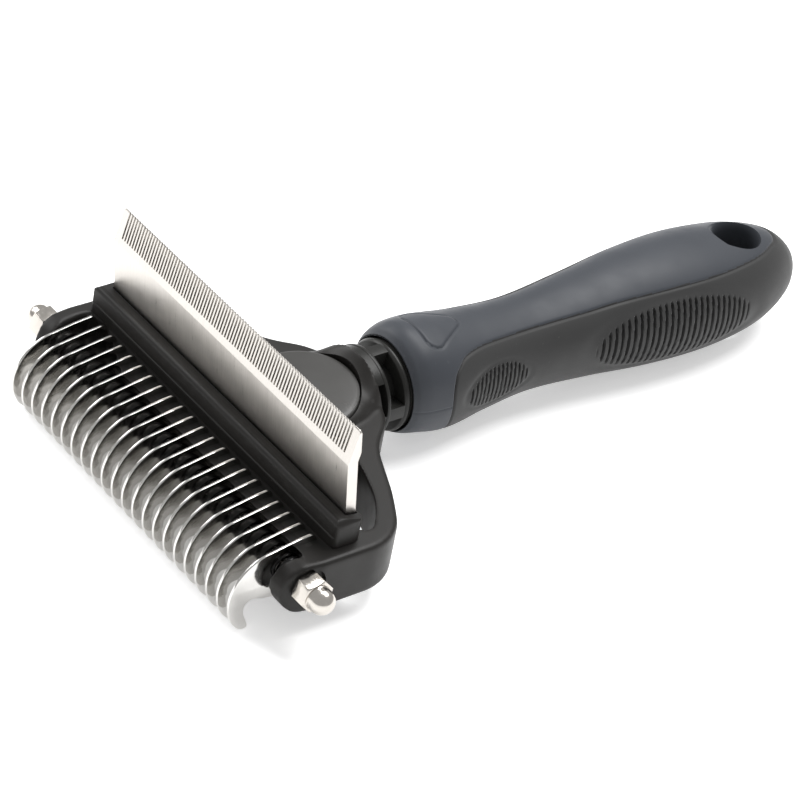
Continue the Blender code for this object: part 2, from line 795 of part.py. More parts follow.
def make_flex_row(name, start, end, windows):
    """A row of ribs round a core, which gives when the head is pushed."""
    row = neck_disc(f"{name}_disc", start, end)
    for i, (angle, width) in enumerate(windows):
        boolean(row, sector(f"{name}_window_{i}", start - CUT, end + CUT, angle, width))
    row = applied(row, name, NECK_PLASTIC)
    smooth(row)
    return row


def make_neck():
    step = 360 / REAR_WINDOWS
    rear = [(step * (i + 0.5), step - REAR_RIB) for i in range(REAR_WINDOWS)]
    make_flex_row("neck_flex_front", HUB_END + GAP, MID_RING_Y - GAP, FRONT_WINDOWS)
    make_flex_row("neck_flex_rear", REAR_ROW_Y + GAP, SOCKET_Y - GAP, rear)
    ring = applied(neck_disc("ring_disc", MID_RING_Y, REAR_ROW_Y), "neck_mid_ring", NECK_PLASTIC)
    smooth(ring)
    socket = neck_disc("socket_disc", SOCKET_Y, MOUTH_Y + SOCKET_SEAT)
    spigot = neck_disc("spigot_shape", MOUTH_Y, MOUTH_Y + SPIGOT_LENGTH, SPIGOT_RADIUS)
    boolean(socket, spigot, "UNION")
    flange_end = MOUTH_Y + SPIGOT_LENGTH
    flange = neck_disc("flange_shape", flange_end - FLANGE_LENGTH, flange_end + 0.01, FLANGE_RADIUS)
    boolean(socket, flange, "UNION")
    socket = applied(socket, "neck_socket", NECK_PLASTIC)
    smooth(socket)


# ---------------------------------------------------------------- handle


def smooth_value(share, column):
    """A smooth curve through one column of the handle's stations."""
    rows = HANDLE_STATIONS
    i = 0
    while i < len(rows) - 2 and share > rows[i + 1][0]:
        i += 1
    before = rows[max(i - 1, 0)]
    start = rows[i]
    end = rows[i + 1]
    after = rows[min(i + 2, len(rows) - 1)]
    span = end[0] - start[0]
    u = (share - start[0]) / span
    slope_start = (end[column] - before[column]) / (end[0] - before[0]) * span
    slope_end = (after[column] - start[column]) / (after[0] - start[0]) * span
    rise = (2 * u**3 - 3 * u**2 + 1) * start[column] + (3 * u**2 - 2 * u**3) * end[column]
    return rise + (u**3 - 2 * u**2 + u) * slope_start + (u**3 - u**2) * slope_end


def handle_section(share, inset, count=HANDLE_SIDES):
    """A ring round the handle's axis, and the least of its radii."""
    half_width = smooth_value(share, 1) - inset
    rise = smooth_value(share, 2) - inset
    drop = smooth_value(share, 3) - inset
    y = MOUTH_Y + share * HANDLE_LENGTH
    ring = []
    for i in range(count):
        angle = 2 * math.pi * i / count
        height = rise if math.sin(angle) > 0 else drop
        ring.append((half_width * math.cos(angle), y, AXIS_Z + height * math.sin(angle)))
    return ring, min(half_width, rise, drop)


def handle_body(name, inset=0.0, first=0.0, last=HANDLE_LENGTH):
    """The handle's form, grown or shrunk by an inset and cut to a stretch of its length in mm."""
    low = max(first / HANDLE_LENGTH, 0.0)
    high = min(last / HANDLE_LENGTH, 1.0)
    rings = []
    for i in range(HANDLE_RINGS + 1):
        share = 0.5 - 0.5 * math.cos(math.pi * i / HANDLE_RINGS)
        ring, least = handle_section(low + (high - low) * share, inset)
        if least > 1.0:
            rings.append(ring)
    if inset < 0:
        rings[-1] = [(x, y - inset, z) for x, y, z in rings[-1]]
    bm = bmesh.new()
    ring_surface(bm, rings)
    return add_object(name, mesh_from_bmesh(name, bm))


def grip_region(name, grow):
    """Everything below and behind the edge between shells and grip, grown by a gap."""
    points = []
    for share, height in GRIP_EDGE:
        forward = grow if share < 0.12 else 0.0
        up = grow if share >= 0.1 else 0.0
        points.append((MOUTH_Y + share * HANDLE_LENGTH - forward, AXIS_Z + height + up))
    foot = AXIS_Z + GRIP_EDGE[0][1] - CUT
    points.append((points[-1][0], foot))
    points.append((points[0][0], foot))
    return side_prism(name, points, SHELL_BOX)


def hole_cutter():
    low = (0, HOLE_Y, AXIS_Z - SHELL_BOX)
    return cylinder("hole_cut", HOLE_RADIUS, low, (0, HOLE_Y, AXIS_Z + SHELL_BOX), 24)


def flare_cutter():
    top = AXIS_Z + smooth_value(1 - HOLE_INSET / HANDLE_LENGTH, 2)
    reach = 3 * CUT
    slope = HOLE_FLARE / HOLE_FLARE_DEPTH
    return cylinder(
        "flare_cut",
        HOLE_RADIUS,
        (0, HOLE_Y, top - HOLE_FLARE_DEPTH),
        (0, HOLE_Y, top + reach),
        24,
        radius_end=HOLE_RADIUS + slope * (HOLE_FLARE_DEPTH + reach),
    )


def make_grip():
    grip = handle_body("grip_form")
    boolean(grip, handle_body("grip_core_cut", GRIP_SKIN - GAP))
    boolean(grip, grip_region("grip_region_shape", 0.0), "INTERSECT")
    boolean(grip, hole_cutter())
    grip = applied(grip, "handle_grip", GRIP_RUBBER)
    smooth(grip)
    return grip


def groove_cutter():
    """The space that the grip fills, with the gap round it."""
    groove = handle_body("groove_form", -2.0)
    boolean(groove, handle_body("groove_core", GRIP_SKIN))
    boolean(groove, grip_region("groove_region", GAP), "INTERSECT")
    return applied(groove, "groove_cut")


def mouth_cutter():
    """The hollow at the handle's mouth, which holds the neck's flange."""
    mouth = neck_disc("mouth_disc", MOUTH_Y - CUT, MOUTH_Y + SOCKET_SEAT + GAP, NECK_RADIUS + GAP)
    end = MOUTH_Y + SPIGOT_LENGTH
    boolean(mouth, neck_disc("throat_shape", MOUTH_Y - CUT, end, SPIGOT_RADIUS + GAP), "UNION")
    start = end - FLANGE_LENGTH - GAP
    boolean(mouth, neck_disc("pocket_shape", start, end + GAP, FLANGE_RADIUS + GAP), "UNION")
    return applied(mouth, "mouth_cut")


def make_shell(name, low, high, groove, mouth, cavity):
    shell = handle_body(f"{name}_form")
    half = box(f"{name}_half", (-SHELL_BOX, 0, low), (SHELL_BOX, MOUTH_Y + HANDLE_LENGTH + CUT, high))
    boolean(shell, half, "INTERSECT")
    boolean(shell, groove)
    boolean(shell, mouth)
    boolean(shell, cavity)
    boolean(shell, bpy.data.objects["hole_cut"])
    if high > AXIS_Z:
        boolean(shell, flare_cutter())
    shell = applied(shell, name, SLATE_PLASTIC)
    smooth(shell)
    return shell


def make_handle():
    make_grip()
    groove = groove_cutter()
    mouth = mouth_cutter()
    first = SPIGOT_LENGTH + CAVITY_MARGIN
    last = HANDLE_LENGTH - HOLE_INSET - CAVITY_END
    cavity = handle_body("cavity_cut", GRIP_SKIN + SHELL_WALL, first, last)
    upper = (PARTING_Z + GAP / 2, PARTING_Z + SHELL_BOX)
    lower = (PARTING_Z - SHELL_BOX, PARTING_Z - GAP / 2)
    make_shell("handle_upper_shell", *upper, groove, mouth, cavity)
    make_shell("handle_lower_shell", *lower, groove, mouth, cavity)


def new_empty(name, y, z, parent=None):
    empty = bpy.data.objects.new(name, None)
    PARTS.objects.link(empty)
    empty.location = Vector((0.0, y, z)) * MM
    hold(empty, parent)
    return empty


def hold(obj, parent):
    """Parents an object and leaves it where it is."""
    if parent:
        bpy.context.view_layer.update()
        obj.parent = parent
        obj.matrix_parent_inverse = parent.matrix_world.inverted()


def assemble():
    """The handle carries the neck's ring, and the ring carries the head."""
    pieces = list(PARTS.objects)
    root = new_empty("handle_root", 0.0, 0.0)
    pitch = new_empty("neck_pitch_axis", (REAR_ROW_Y + SOCKET_Y) / 2, AXIS_Z, root)
    yaw = new_empty("neck_yaw_axis", (HUB_END + MID_RING_Y) / 2, AXIS_Z, pitch)
    for obj in pieces:
        if obj.name.startswith("handle_") or obj.name in ("neck_socket", "neck_flex_rear"):
            hold(obj, root)
        elif obj.name in ("neck_mid_ring", "neck_flex_front"):
            hold(obj, pitch)
        else:
            hold(obj, yaw)
    bpy.context.view_layer.update()
    points = [obj.matrix_world @ vert.co for obj in pieces for vert in obj.data.vertices]
    ends = [point.y for point in points]
    root.location.y = -(min(ends) + max(ends)) / 2
    root.location.z = -min(point.z for point in points)


make_frame()
make_cover()
make_comb()
make_holder()
make_rake_blades()
make_spacers()
make_rod()
make_nut(-1, "left")
make_nut(1, "right")
make_neck()
make_handle()
assemble()
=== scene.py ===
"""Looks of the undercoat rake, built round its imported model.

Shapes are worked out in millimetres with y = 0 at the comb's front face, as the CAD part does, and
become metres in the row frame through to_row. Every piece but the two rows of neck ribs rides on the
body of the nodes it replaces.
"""

import math

import bmesh
import bpy
import numpy as np
from mathutils import Matrix, Vector


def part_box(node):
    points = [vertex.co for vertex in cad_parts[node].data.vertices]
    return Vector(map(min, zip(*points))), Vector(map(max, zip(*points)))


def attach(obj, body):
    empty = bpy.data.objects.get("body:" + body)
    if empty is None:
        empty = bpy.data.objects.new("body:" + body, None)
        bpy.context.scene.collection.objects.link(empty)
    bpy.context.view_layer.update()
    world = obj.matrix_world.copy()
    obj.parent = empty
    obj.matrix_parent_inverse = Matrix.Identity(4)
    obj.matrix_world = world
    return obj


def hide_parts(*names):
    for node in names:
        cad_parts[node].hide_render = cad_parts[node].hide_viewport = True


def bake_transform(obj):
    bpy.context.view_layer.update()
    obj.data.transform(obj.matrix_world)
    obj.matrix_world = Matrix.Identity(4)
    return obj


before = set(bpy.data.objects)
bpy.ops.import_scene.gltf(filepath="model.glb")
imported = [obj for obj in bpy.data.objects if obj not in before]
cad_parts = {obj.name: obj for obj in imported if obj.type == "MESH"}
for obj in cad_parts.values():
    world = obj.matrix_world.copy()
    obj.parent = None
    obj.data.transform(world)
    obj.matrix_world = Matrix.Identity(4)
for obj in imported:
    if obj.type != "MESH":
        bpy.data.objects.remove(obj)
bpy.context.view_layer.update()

MM = 0.001


def middle(node, axis):
    """Middle of a CAD node along an axis, in mm."""
    low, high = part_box(node)
    return (low[axis] + high[axis]) / 2 / MM


def edge(node, axis, side):
    """Lowest (side 0) or highest (side 1) reach of a CAD node along an axis, in mm."""
    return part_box(node)[side][axis] / MM


# The frame's own sizes
ROD_SETOFF = 13.2
FACE_Y = middle("rake_rod", 1) + ROD_SETOFF
ROD_Z = middle("rake_rod", 2)
AXIS_Z = middle("neck_mid_ring", 2)
NECK_RADIUS = (edge("neck_mid_ring", 0, 1) - edge("neck_mid_ring", 0, 0)) / 2
FRAME_TOP = edge("comb_holder", 2, 0) - 0.3
FRAME_BOTTOM = 6.7
ARM_OUTER = edge("head_frame", 0, 1)
COMB_HALF = edge("deshedding_comb", 0, 1)
HOLDER_HALF = edge("comb_holder", 0, 1)
HOLDER_FRONT = edge("comb_holder", 1, 0) - FACE_Y
HOLDER_REAR = edge("comb_holder", 1, 1) - FACE_Y
HOLDER_TOP = edge("comb_holder", 2, 1)
NECK_FRONT = edge("neck_flex_front", 1, 0) - FACE_Y - 0.3
RING_FRONT = edge("neck_mid_ring", 1, 0) - FACE_Y
RING_REAR = edge("neck_mid_ring", 1, 1) - FACE_Y
SOCKET_FRONT = edge("neck_socket", 1, 0) - FACE_Y
MOUTH_Y = edge("handle_upper_shell", 1, 0) - FACE_Y
HANDLE_LENGTH = edge("handle_grip", 1, 1) - FACE_Y - MOUTH_Y
HOLE_INSET = 21.3
HOLE_Y = MOUTH_Y + HANDLE_LENGTH - HOLE_INSET
HOLE_RADIUS = 6.2
ROD_RADIUS = 2.5
COMB_LEAN = math.radians(8)
HUB_SLOPE = math.radians(8)


def to_row(points):
    """Millimetres from the comb's face to metres in the row frame."""
    return (np.asarray(points, float) + (0.0, FACE_Y, 0.0)) * MM


# ---------------------------------------------------------------- materials


def node_material(name, roughness, metallic=0.0):
    material = bpy.data.materials.new(name)
    material.use_nodes = True
    tree = material.node_tree
    shader = tree.nodes["Principled BSDF"]
    shader.inputs["Roughness"].default_value = roughness
    shader.inputs["Metallic"].default_value = metallic
    return material, tree, shader


def add_node(tree, kind, **values):
    node = tree.nodes.new(kind)
    for key, value in values.items():
        if key in node.inputs:
            node.inputs[key].default_value = value
        else:
            setattr(node, key, value)
    return node


def noise(tree, scale, detail=3.0, stretch=(1.0, 1.0, 1.0), rough=0.5):
    """Noise over the piece's own coordinates. Scale is in cells per metre."""
    place = add_node(tree, "ShaderNodeTexCoord")
    mapping = add_node(tree, "ShaderNodeMapping", Scale=stretch)
    texture = add_node(tree, "ShaderNodeTexNoise", Scale=scale, Detail=detail, Roughness=rough)
    tree.links.new(place.outputs["Object"], mapping.inputs["Vector"])
    tree.links.new(mapping.outputs["Vector"], texture.inputs["Vector"])
    return texture.outputs["Fac"]


def ranged(tree, value, low, high, start=0.3, end=0.7):
    node = add_node(tree, "ShaderNodeMapRange")
    node.inputs["From Min"].default_value = start
    node.inputs["From Max"].default_value = end
    node.inputs["To Min"].default_value = low
    node.inputs["To Max"].default_value = high
    tree.links.new(value, node.inputs["Value"])
    return node.outputs["Result"]


def mixed_colour(tree, factor, first, second):
    node = add_node(tree, "ShaderNodeMix", data_type="RGBA")
    node.inputs["A"].default_value = (*first, 1.0)
    node.inputs["B"].default_value = (*second, 1.0)
    tree.links.new(factor, node.inputs["Factor"])
    return node.outputs["Result"]


def bump(tree, shader, height, strength, distance):
    node = add_node(tree, "ShaderNodeBump", Strength=strength, Distance=distance)
    tree.links.new(height, node.inputs["Height"])
    tree.links.new(node.outputs["Normal"], shader.inputs["Normal"])


def edge_wear(tree):
    """About 1 on convex edges and 0 elsewhere."""
    place = add_node(tree, "ShaderNodeNewGeometry")
    return ranged(tree, place.outputs["Pointiness"], 0.0, 1.0, 0.57, 0.68)


WEAR_TONE = 0.08


def moulded_plastic(name, colour, roughness, grain=0.25, shade=0.12, wear=0.35):
    """Satin plastic: fine moulded grain, faint cloudiness and slightly rubbed edges."""
    material, tree, shader = node_material(name, roughness)
    shader.inputs["Specular IOR Level"].default_value = 0.22
    cloud = noise(tree, 55.0, 2.0)
    darker = tuple(c * (1 - shade) for c in colour)
    lighter = tuple(c * (1 + shade) for c in colour)
    base = mixed_colour(tree, cloud, darker, lighter)
    rubbed = add_node(tree, "ShaderNodeMix", data_type="RGBA", blend_type="SCREEN")
    rubbed.inputs["B"].default_value = (wear * WEAR_TONE,) * 3 + (1.0,)
    tree.links.new(edge_wear(tree), rubbed.inputs["Factor"])
    tree.links.new(base, rubbed.inputs["A"])
    tree.links.new(rubbed.outputs["Result"], shader.inputs["Base Color"])
    smudge = noise(tree, 140.0, 4.0)
    tree.links.new(ranged(tree, smudge, roughness * 0.88, roughness * 1.14), shader.inputs["Roughness"])
    bump(tree, shader, noise(tree, 3800.0, 2.0), grain, 0.00006)
    return material


def soft_rubber(name, colour):
    """Matte soft-touch rubber with a fine bloom and dusty flecks."""
    material, tree, shader = node_material(name, 0.6)
    shader.inputs["Specular IOR Level"].default_value = 0.3
    bloom = noise(tree, 90.0, 4.0)
    flecks = ranged(tree, noise(tree, 900.0, 2.0), 0.0, 0.5, 0.70, 0.78)
    base = mixed_colour(tree, bloom, tuple(c * 0.9 for c in colour), tuple(c * 1.12 for c in colour))
    dusted = add_node(tree, "ShaderNodeMix", data_type="RGBA")
    dusted.inputs["B"].default_value = tuple(min(c * 2.2, 1.0) for c in colour) + (1.0,)
    tree.links.new(flecks, dusted.inputs["Factor"])
    tree.links.new(base, dusted.inputs["A"])
    tree.links.new(dusted.outputs["Result"], shader.inputs["Base Color"])
    tree.links.new(ranged(tree, bloom, 0.52, 0.66), shader.inputs["Roughness"])
    shader.inputs["Sheen Weight"].default_value = 0.12
    shader.inputs["Sheen Roughness"].default_value = 0.4
    bump(tree, shader, noise(tree, 5200.0, 3.0), 0.3, 0.00005)
    return material


def brushed_steel(name):
    """Steel brushed along the comb's height, with brighter and darker strokes."""
    material, tree, shader = node_material(name, 0.34, 1.0)
    strokes = noise(tree, 260.0, 6.0, (16.0, 1.0, 0.5), 0.62)
    fine = noise(tree, 900.0, 4.0, (10.0, 1.0, 0.25), 0.6)
    tone = mixed_colour(tree, strokes, (0.46, 0.44, 0.41), (0.70, 0.67, 0.635))
    tree.links.new(tone, shader.inputs["Base Color"])
    tree.links.new(ranged(tree, strokes, 0.27, 0.40), shader.inputs["Roughness"])
    shader.inputs["Anisotropic"].default_value = 0.4
    bump(tree, shader, fine, 0.22, 0.00004)
    return material


def polished_steel(name, colour=(0.66, 0.65, 0.63), roughness=0.1):
    """Bright polished metal with faint rubbing marks."""
    material, tree, shader = node_material(name, roughness, 1.0)
    marks = noise(tree, 700.0, 5.0, (1.0, 3.0, 1.0))
    darker = tuple(c * 0.92 for c in colour)
    tree.links.new(mixed_colour(tree, marks, darker, colour), shader.inputs["Base Color"])
    tree.links.new(ranged(tree, marks, roughness * 0.7, roughness * 1.5), shader.inputs["Roughness"])
    bump(tree, shader, noise(tree, 2600.0, 2.0), 0.05, 0.00003)
    return material


SLATE = moulded_plastic("slate_plastic", (0.043, 0.047, 0.055), 0.46, wear=0.08)
RUBBER = soft_rubber("grip_rubber", (0.024, 0.024, 0.024))
BLACK = moulded_plastic("black_plastic", (0.014, 0.013, 0.012), 0.42, wear=0.15)
COVER = moulded_plastic("cover_plastic", (0.052, 0.051, 0.049), 0.30, grain=0.1, wear=0.1)
NECK = moulded_plastic("neck_plastic", (0.014, 0.014, 0.013), 0.34)
SPACER = moulded_plastic("spacer_plastic", (0.016, 0.016, 0.016), 0.20, grain=0.05)
COMB_STEEL = brushed_steel("comb_steel")
BLADE_STEEL = polished_steel("blade_steel")
NUT_NICKEL = polished_steel("nut_nickel", (0.56, 0.53, 0.49), 0.17)
ROD_STEEL = polished_steel("rod_steel", (0.55, 0.54, 0.52), 0.22)


# ---------------------------------------------------------------- mesh helpers


def new_mesh_object(name, points, faces, material=None):
    """A mesh object from points in mm."""
    mesh = bpy.data.meshes.new(name)
    mesh.from_pydata(to_row(points).tolist(), [], [list(face) for face in faces])
    mesh.update()
    return link(name, mesh, material)


def link(name, mesh, material=None):
    obj = bpy.data.objects.new(name, mesh)
    bpy.context.scene.collection.objects.link(obj)
    if material:
        mesh.materials.clear()
        mesh.materials.append(material)
    return obj


def finish_piece(obj, body, slot, *nodes):
    """Hides the CAD nodes that a finished piece stands for and hangs it on the body that it rides on. The
    slot argument is not used.
    """
    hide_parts(*nodes)
    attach(obj, body)


def smooth(obj, angle=35):
    obj.data.shade_smooth()
    obj.data.set_sharp_from_angle(angle=math.radians(angle))


def applied(obj):
    """The object with its modifiers applied to its mesh."""
    bpy.context.view_layer.update()
    graph = bpy.context.evaluated_depsgraph_get()
    mesh = bpy.data.meshes.new_from_object(obj.evaluated_get(graph))
    obj.modifiers.clear()
    obj.data = mesh
    return obj


def boolean(obj, other, operation="DIFFERENCE", solver="EXACT"):
    """Cuts or joins with another object, which is used up."""
    modifier = obj.modifiers.new("cut", "BOOLEAN")
    modifier.operation = operation
    modifier.solver = solver
    modifier.object = other
    applied(obj)
    bpy.data.objects.remove(other, do_unlink=True)
    return obj


def bevel(obj, width, segments=3, angle=30):
    modifier = obj.modifiers.new("bevel", "BEVEL")
    modifier.width = width * MM
    modifier.segments = segments
    modifier.limit_method = "ANGLE"
    modifier.angle_limit = math.radians(angle)
    return applied(obj)


def outward(obj):
    """Turns every face of an object's closed mesh outwards."""
    close_mesh(obj.data)
    return obj


def close_mesh(mesh):
    """Joins points that coincide and turns every face outwards."""
    bm = bmesh.new()
    bm.from_mesh(mesh)
    bmesh.ops.remove_doubles(bm, verts=bm.verts, dist=0.000002)
    bmesh.ops.recalc_face_normals(bm, faces=bm.faces)
    bm.to_mesh(mesh)
    bm.free()


def spline(points, steps, cyclic=False):
    """A smooth curve through points, with the given steps between neighbours."""
    points = np.asarray(points, float)
    count = len(points)
    result = []
    for i in range(count if cyclic else count - 1):
        if cyclic:
            before, start, end, after = (points[(i + k) % count] for k in (-1, 0, 1, 2))
        else:
            before, start, end, after = (points[min(max(i + k, 0), count - 1)] for k in (-1, 0, 1, 2))
        for step in range(steps):
            u = step / steps
            result.append(
                0.5
                * (
                    2 * start
                    + (end - before) * u
                    + (2 * before - 5 * start + 4 * end - after) * u**2
                    + (3 * start - before - 3 * end + after) * u**3
                )
            )
    if not cyclic:
        result.append(points[-1])
    return np.array(result)


def arc(centre, radius, start, end, steps):
    angles = np.radians(np.linspace(start, end, steps + 1))
    return [(centre[0] + radius * math.cos(a), centre[1] + radius * math.sin(a)) for a in angles]


def loft(name, rings, material=None, closed=True):
    """A skin over rings of equal counts, with its ends closed."""
    rings = [np.asarray(ring, float) for ring in rings]
    count = len(rings[0])
    faces = []
    for k in range(len(rings) - 1):
        first = k * count
        for i in range(count):
            j = (i + 1) % count
            faces.append((first + i, first + j, first + count + j, first + count + i))
    if closed:
        faces.append(tuple(range(count)))
        last = (len(rings) - 1) * count
        faces.append(tuple(last + i for i in range(count)))
    return outward(new_mesh_object(name, np.vstack(rings), faces, material))


def lathe(name, profile, centre, axis, sides=96, material=None):
    """A solid turned about an axis, from a closed run of (radius, distance along the axis)."""
    axis = Vector(axis).normalized()
    across = axis.orthogonal().normalized()
    up = axis.cross(across)
    points = []
    faces = []
    count = len(profile)
    for i in range(sides):
        angle = 2 * math.pi * i / sides
        spoke = across * math.cos(angle) + up * math.sin(angle)
        for radius, along in profile:
            points.append(Vector(centre) + spoke * max(radius, 0.0) + axis * along)
        for k in range(count):
            here = i * count + k
            beside = i * count + (k + 1) % count
            turn = count if i < sides - 1 else count - sides * count
            faces.append((here, beside, beside + turn, here + turn))
    return outward(new_mesh_object(name, [tuple(p) for p in points], faces, material))


def prism(name, outline, low, high, plane="XY", edge_round=0.0, segments=3, material=None):
    """An outline carried from low to high along the axis that its plane leaves out."""
    count = len(outline)
    levels = [(low, 0.0), (high, 0.0)]
    if edge_round:
        turn = [
            (edge_round * (1 - math.cos(a)), edge_round * (1 - math.sin(a)))
            for a in np.linspace(0, math.pi / 2, segments + 1)
        ]
        levels = [(low + height, inset) for height, inset in turn]
        levels += [(high - height, inset) for height, inset in reversed(turn)]
    rings = []
    for level, inset in levels:
        shape = inset_outline(outline, inset) if inset else outline
        rings.append([to_plane(plane, u, v, level) for u, v in shape])
    return loft(name, rings, material)


def to_plane(plane, u, v, level):
    """A point of an outline drawn in XY, YZ or XZ, at a level of the axis left out."""
    if plane == "XY":
        return (u, v, level)
    if plane == "YZ":
        return (level, u, v)
    return (u, level, v)


def inset_outline(outline, inset):
    """The outline moved inwards by inset along its corners' bisectors."""
    points = np.asarray(outline, float)
    before = np.roll(points, 1, axis=0)
    after = np.roll(points, -1, axis=0)
    area = np.sum(before[:, 0] * points[:, 1] - points[:, 0] * before[:, 1])
    first = points - before
    second = after - points
    first /= np.linalg.norm(first, axis=1)[:, None] + 1e-12
    second /= np.linalg.norm(second, axis=1)[:, None] + 1e-12
    turn = np.sign(area)
    normal = np.stack([-(first + second)[:, 1], (first + second)[:, 0]], axis=1) * turn
    length = np.linalg.norm(normal, axis=1)[:, None] + 1e-12
    cosine = np.clip(np.sqrt((1 + np.sum(first * second, axis=1)) / 2), 0.35, 1.0)[:, None]
    return points + normal / length * inset / cosine


def mirrored(points):
    """An outline's right half and its mirror image in x."""
    return list(points) + [(-x, y) for x, y in reversed(points)]


# ---------------------------------------------------------------- handle

# (share of the handle's length, half width, rise above the axis, drop below the axis)
HANDLE_STATIONS = np.array((
    (0.0, 12.9, 13.1, 12.6),
    (0.012, 14.0, 14.7, 13.2),
    (0.035, 14.9, 15.8, 13.8),
    (0.085, 15.5, 15.3, 15.5),
    (0.126, 15.1, 14.3, 15.8),
    (0.19, 13.9, 13.1, 14.6),
    (0.305, 12.8, 12.2, 13.2),
    (0.445, 14.3, 13.9, 14.2),
    (0.58, 16.5, 16.0, 15.9),
    (0.70, 17.5, 16.4, 16.4),
    (0.80, 16.8, 15.3, 15.6),
    (0.875, 14.8, 13.7, 13.8),
    (0.943, 10.8, 10.5, 10.2),
    (0.98, 6.6, 6.5, 6.4),
    (0.995, 3.2, 3.2, 3.2),
    (1.0, 0.7, 0.7, 0.7),
))

# Edge between shells and grip, seen from the side: (share of the handle's length, z)
GRIP_EDGE = (
    (0.106, -3.0),
    (0.098, 4.5),
    (0.085, 12.0),
    (0.080, 18.5),
    (0.084, 22.5),
    (0.098, 25.2),
    (0.141, 27.0),
    (0.291, 26.3),
    (0.406, 26.9),
    (0.530, 28.1),
    (0.657, 28.5),
    (0.815, 28.2),
    (0.894, 27.8),
    (0.940, 27.3),
    (1.050, 28.2),
)
# Ribbed pads on each side: (middle y, middle z, half length, half height, ribs, dish depth)
RIBBED_PADS = (
    (136.5, 17.2, 26.0, 8.8, 26.5, 1.5),
    (77.5, 16.8, 10.5, 5.4, 14.0, 1.1),
)
PARTING_Z = 16.0
GRID_STEP = 0.26
GRID_ROUND = 300
GROOVE_DEPTH = 0.42
GROOVE_WIDTH = 0.24
# The thumb rest on top: (x, y) of its corners, their rounding, its groove and its rise
THUMB_CORNERS = [(-4.8, 60.4), (4.8, 60.4), (0.0, 68.2)]
THUMB_ROUND = 3.0
THUMB_DEPTH = 0.32
THUMB_WIDTH = 0.26
THUMB_RISE = 0.06
# The hanging hole's flare at the top
FLARE_REACH = 3.2
FLARE_DEPTH = 4.6
FLARE_TOP = AXIS_Z + 14.9


def hermite(share, column):
    """Smooth curve through one column of the stations."""
    rows = HANDLE_STATIONS
    shares = rows[:, 0]
    values = rows[:, column]
    i = np.clip(np.searchsorted(shares, share) - 1, 0, len(rows) - 2)
    before = np.maximum(i - 1, 0)
    after = np.minimum(i + 2, len(rows) - 1)
    span = shares[i + 1] - shares[i]
    u = (share - shares[i]) / span
    start_slope = (values[i + 1] - values[before]) / (shares[i + 1] - shares[before]) * span
    end_slope = (values[after] - values[i]) / (shares[after] - shares[i]) * span
    rise = (2 * u**3 - 3 * u**2 + 1) * values[i] + (3 * u**2 - 2 * u**3) * values[i + 1]
    return rise + (u**3 - 2 * u**2 + u) * start_slope + (u**3 - u**2) * end_slope


def handle_surface(share, angle):
    """Points of the handle's plain form."""
    width = hermite(share, 1)
    rise = hermite(share, 2)
    drop = hermite(share, 3)
    sine = np.sin(angle)
    height = np.where(sine > 0, rise, drop)
    y = MOUTH_Y + share * HANDLE_LENGTH
    return np.stack([width * np.cos(angle), y, AXIS_Z + height * sine], axis=-1)


def grip_distance(points):
    """Distance into the grip from its edge in the side view; negative on the shells."""
    line = spline([(MOUTH_Y + share * HANDLE_LENGTH, z) for share, z in GRIP_EDGE], 8)
    y = points[..., 1]
    z = points[..., 2]
    nearest = np.full(y.shape, 1e9)
    signed = np.zeros(y.shape)
    for start, end in zip(line, line[1:]):
        dy, dz = end - start
        along = np.clip(((y - start[0]) * dy + (z - start[1]) * dz) / (dy * dy + dz * dz), 0, 1)
        off_y = y - start[0] - along * dy
        off_z = z - start[1] - along * dz
        away = np.hypot(off_y, off_z)
        closer = away < nearest
        side = -np.sign(dy * (z - start[1]) - dz * (y - start[0]))
        signed = np.where(closer, side * away, signed)
        nearest = np.where(closer, away, nearest)
    return signed


def smoothstep(low, high, value):
    u = np.clip((value - low) / (high - low), 0, 1)
    return u * u * (3 - 2 * u)


def pad_relief(points):
    """Dished ovals with rows of raised ribs, on both sides of the handle."""
    y = points[..., 1]
    z = points[..., 2]
    relief = np.zeros(y.shape)
    for middle_y, middle_z, length, height, ribs, depth in RIBBED_PADS:
        u = (y - middle_y) / length
        v = (z - middle_z) / height
        reach = np.sqrt(u * u + v * v)
        inside = 1 - smoothstep(0.93, 1.03, reach)
        phase = (y - middle_y) * ribs / (2 * length) + 0.35 * (1 - v * v)
        ridge = smoothstep(0.2, 0.62, np.abs(np.sin(np.pi * phase)))
        relief += inside * depth * (ridge - 1.0)
        relief -= 0.25 * np.exp(-(((reach - 1.1) / 0.12) ** 2))
    return relief


def triangle_distance(x, y, corners, rounding):
    """Distance outside a triangle with rounded corners."""
    nearest = np.full(x.shape, 1e9)
    inside = np.ones(x.shape, bool)
    for (ax, ay), (bx, by) in zip(corners, corners[1:] + corners[:1]):
        dx = bx - ax
        dy = by - ay
        along = np.clip(((x - ax) * dx + (y - ay) * dy) / (dx * dx + dy * dy), 0, 1)
        nearest = np.minimum(nearest, np.hypot(x - ax - along * dx, y - ay - along * dy))
        inside &= dx * (y - ay) - dy * (x - ax) > 0
    return np.where(inside, -nearest, nearest) - rounding


def thumb_relief(points):
    """The thumb rest on top: a groove round a slightly raised pad."""
    away = triangle_distance(points[..., 0], points[..., 1], THUMB_CORNERS, THUMB_ROUND)
    relief = -THUMB_DEPTH * np.exp(-((away / THUMB_WIDTH) ** 2))
    relief += THUMB_RISE * (1 - smoothstep(-0.4, 0.2, away))
    return np.where(points[..., 2] > AXIS_Z, relief, 0.0)


def steps_to_edge(distance, change):
    """How many grid steps away the grip's edge is, or 9 where the distance doesn't change."""
    changes = np.abs(change) > 1e-4
    return np.where(changes, -distance / np.where(changes, change, 1.0), 9.0)


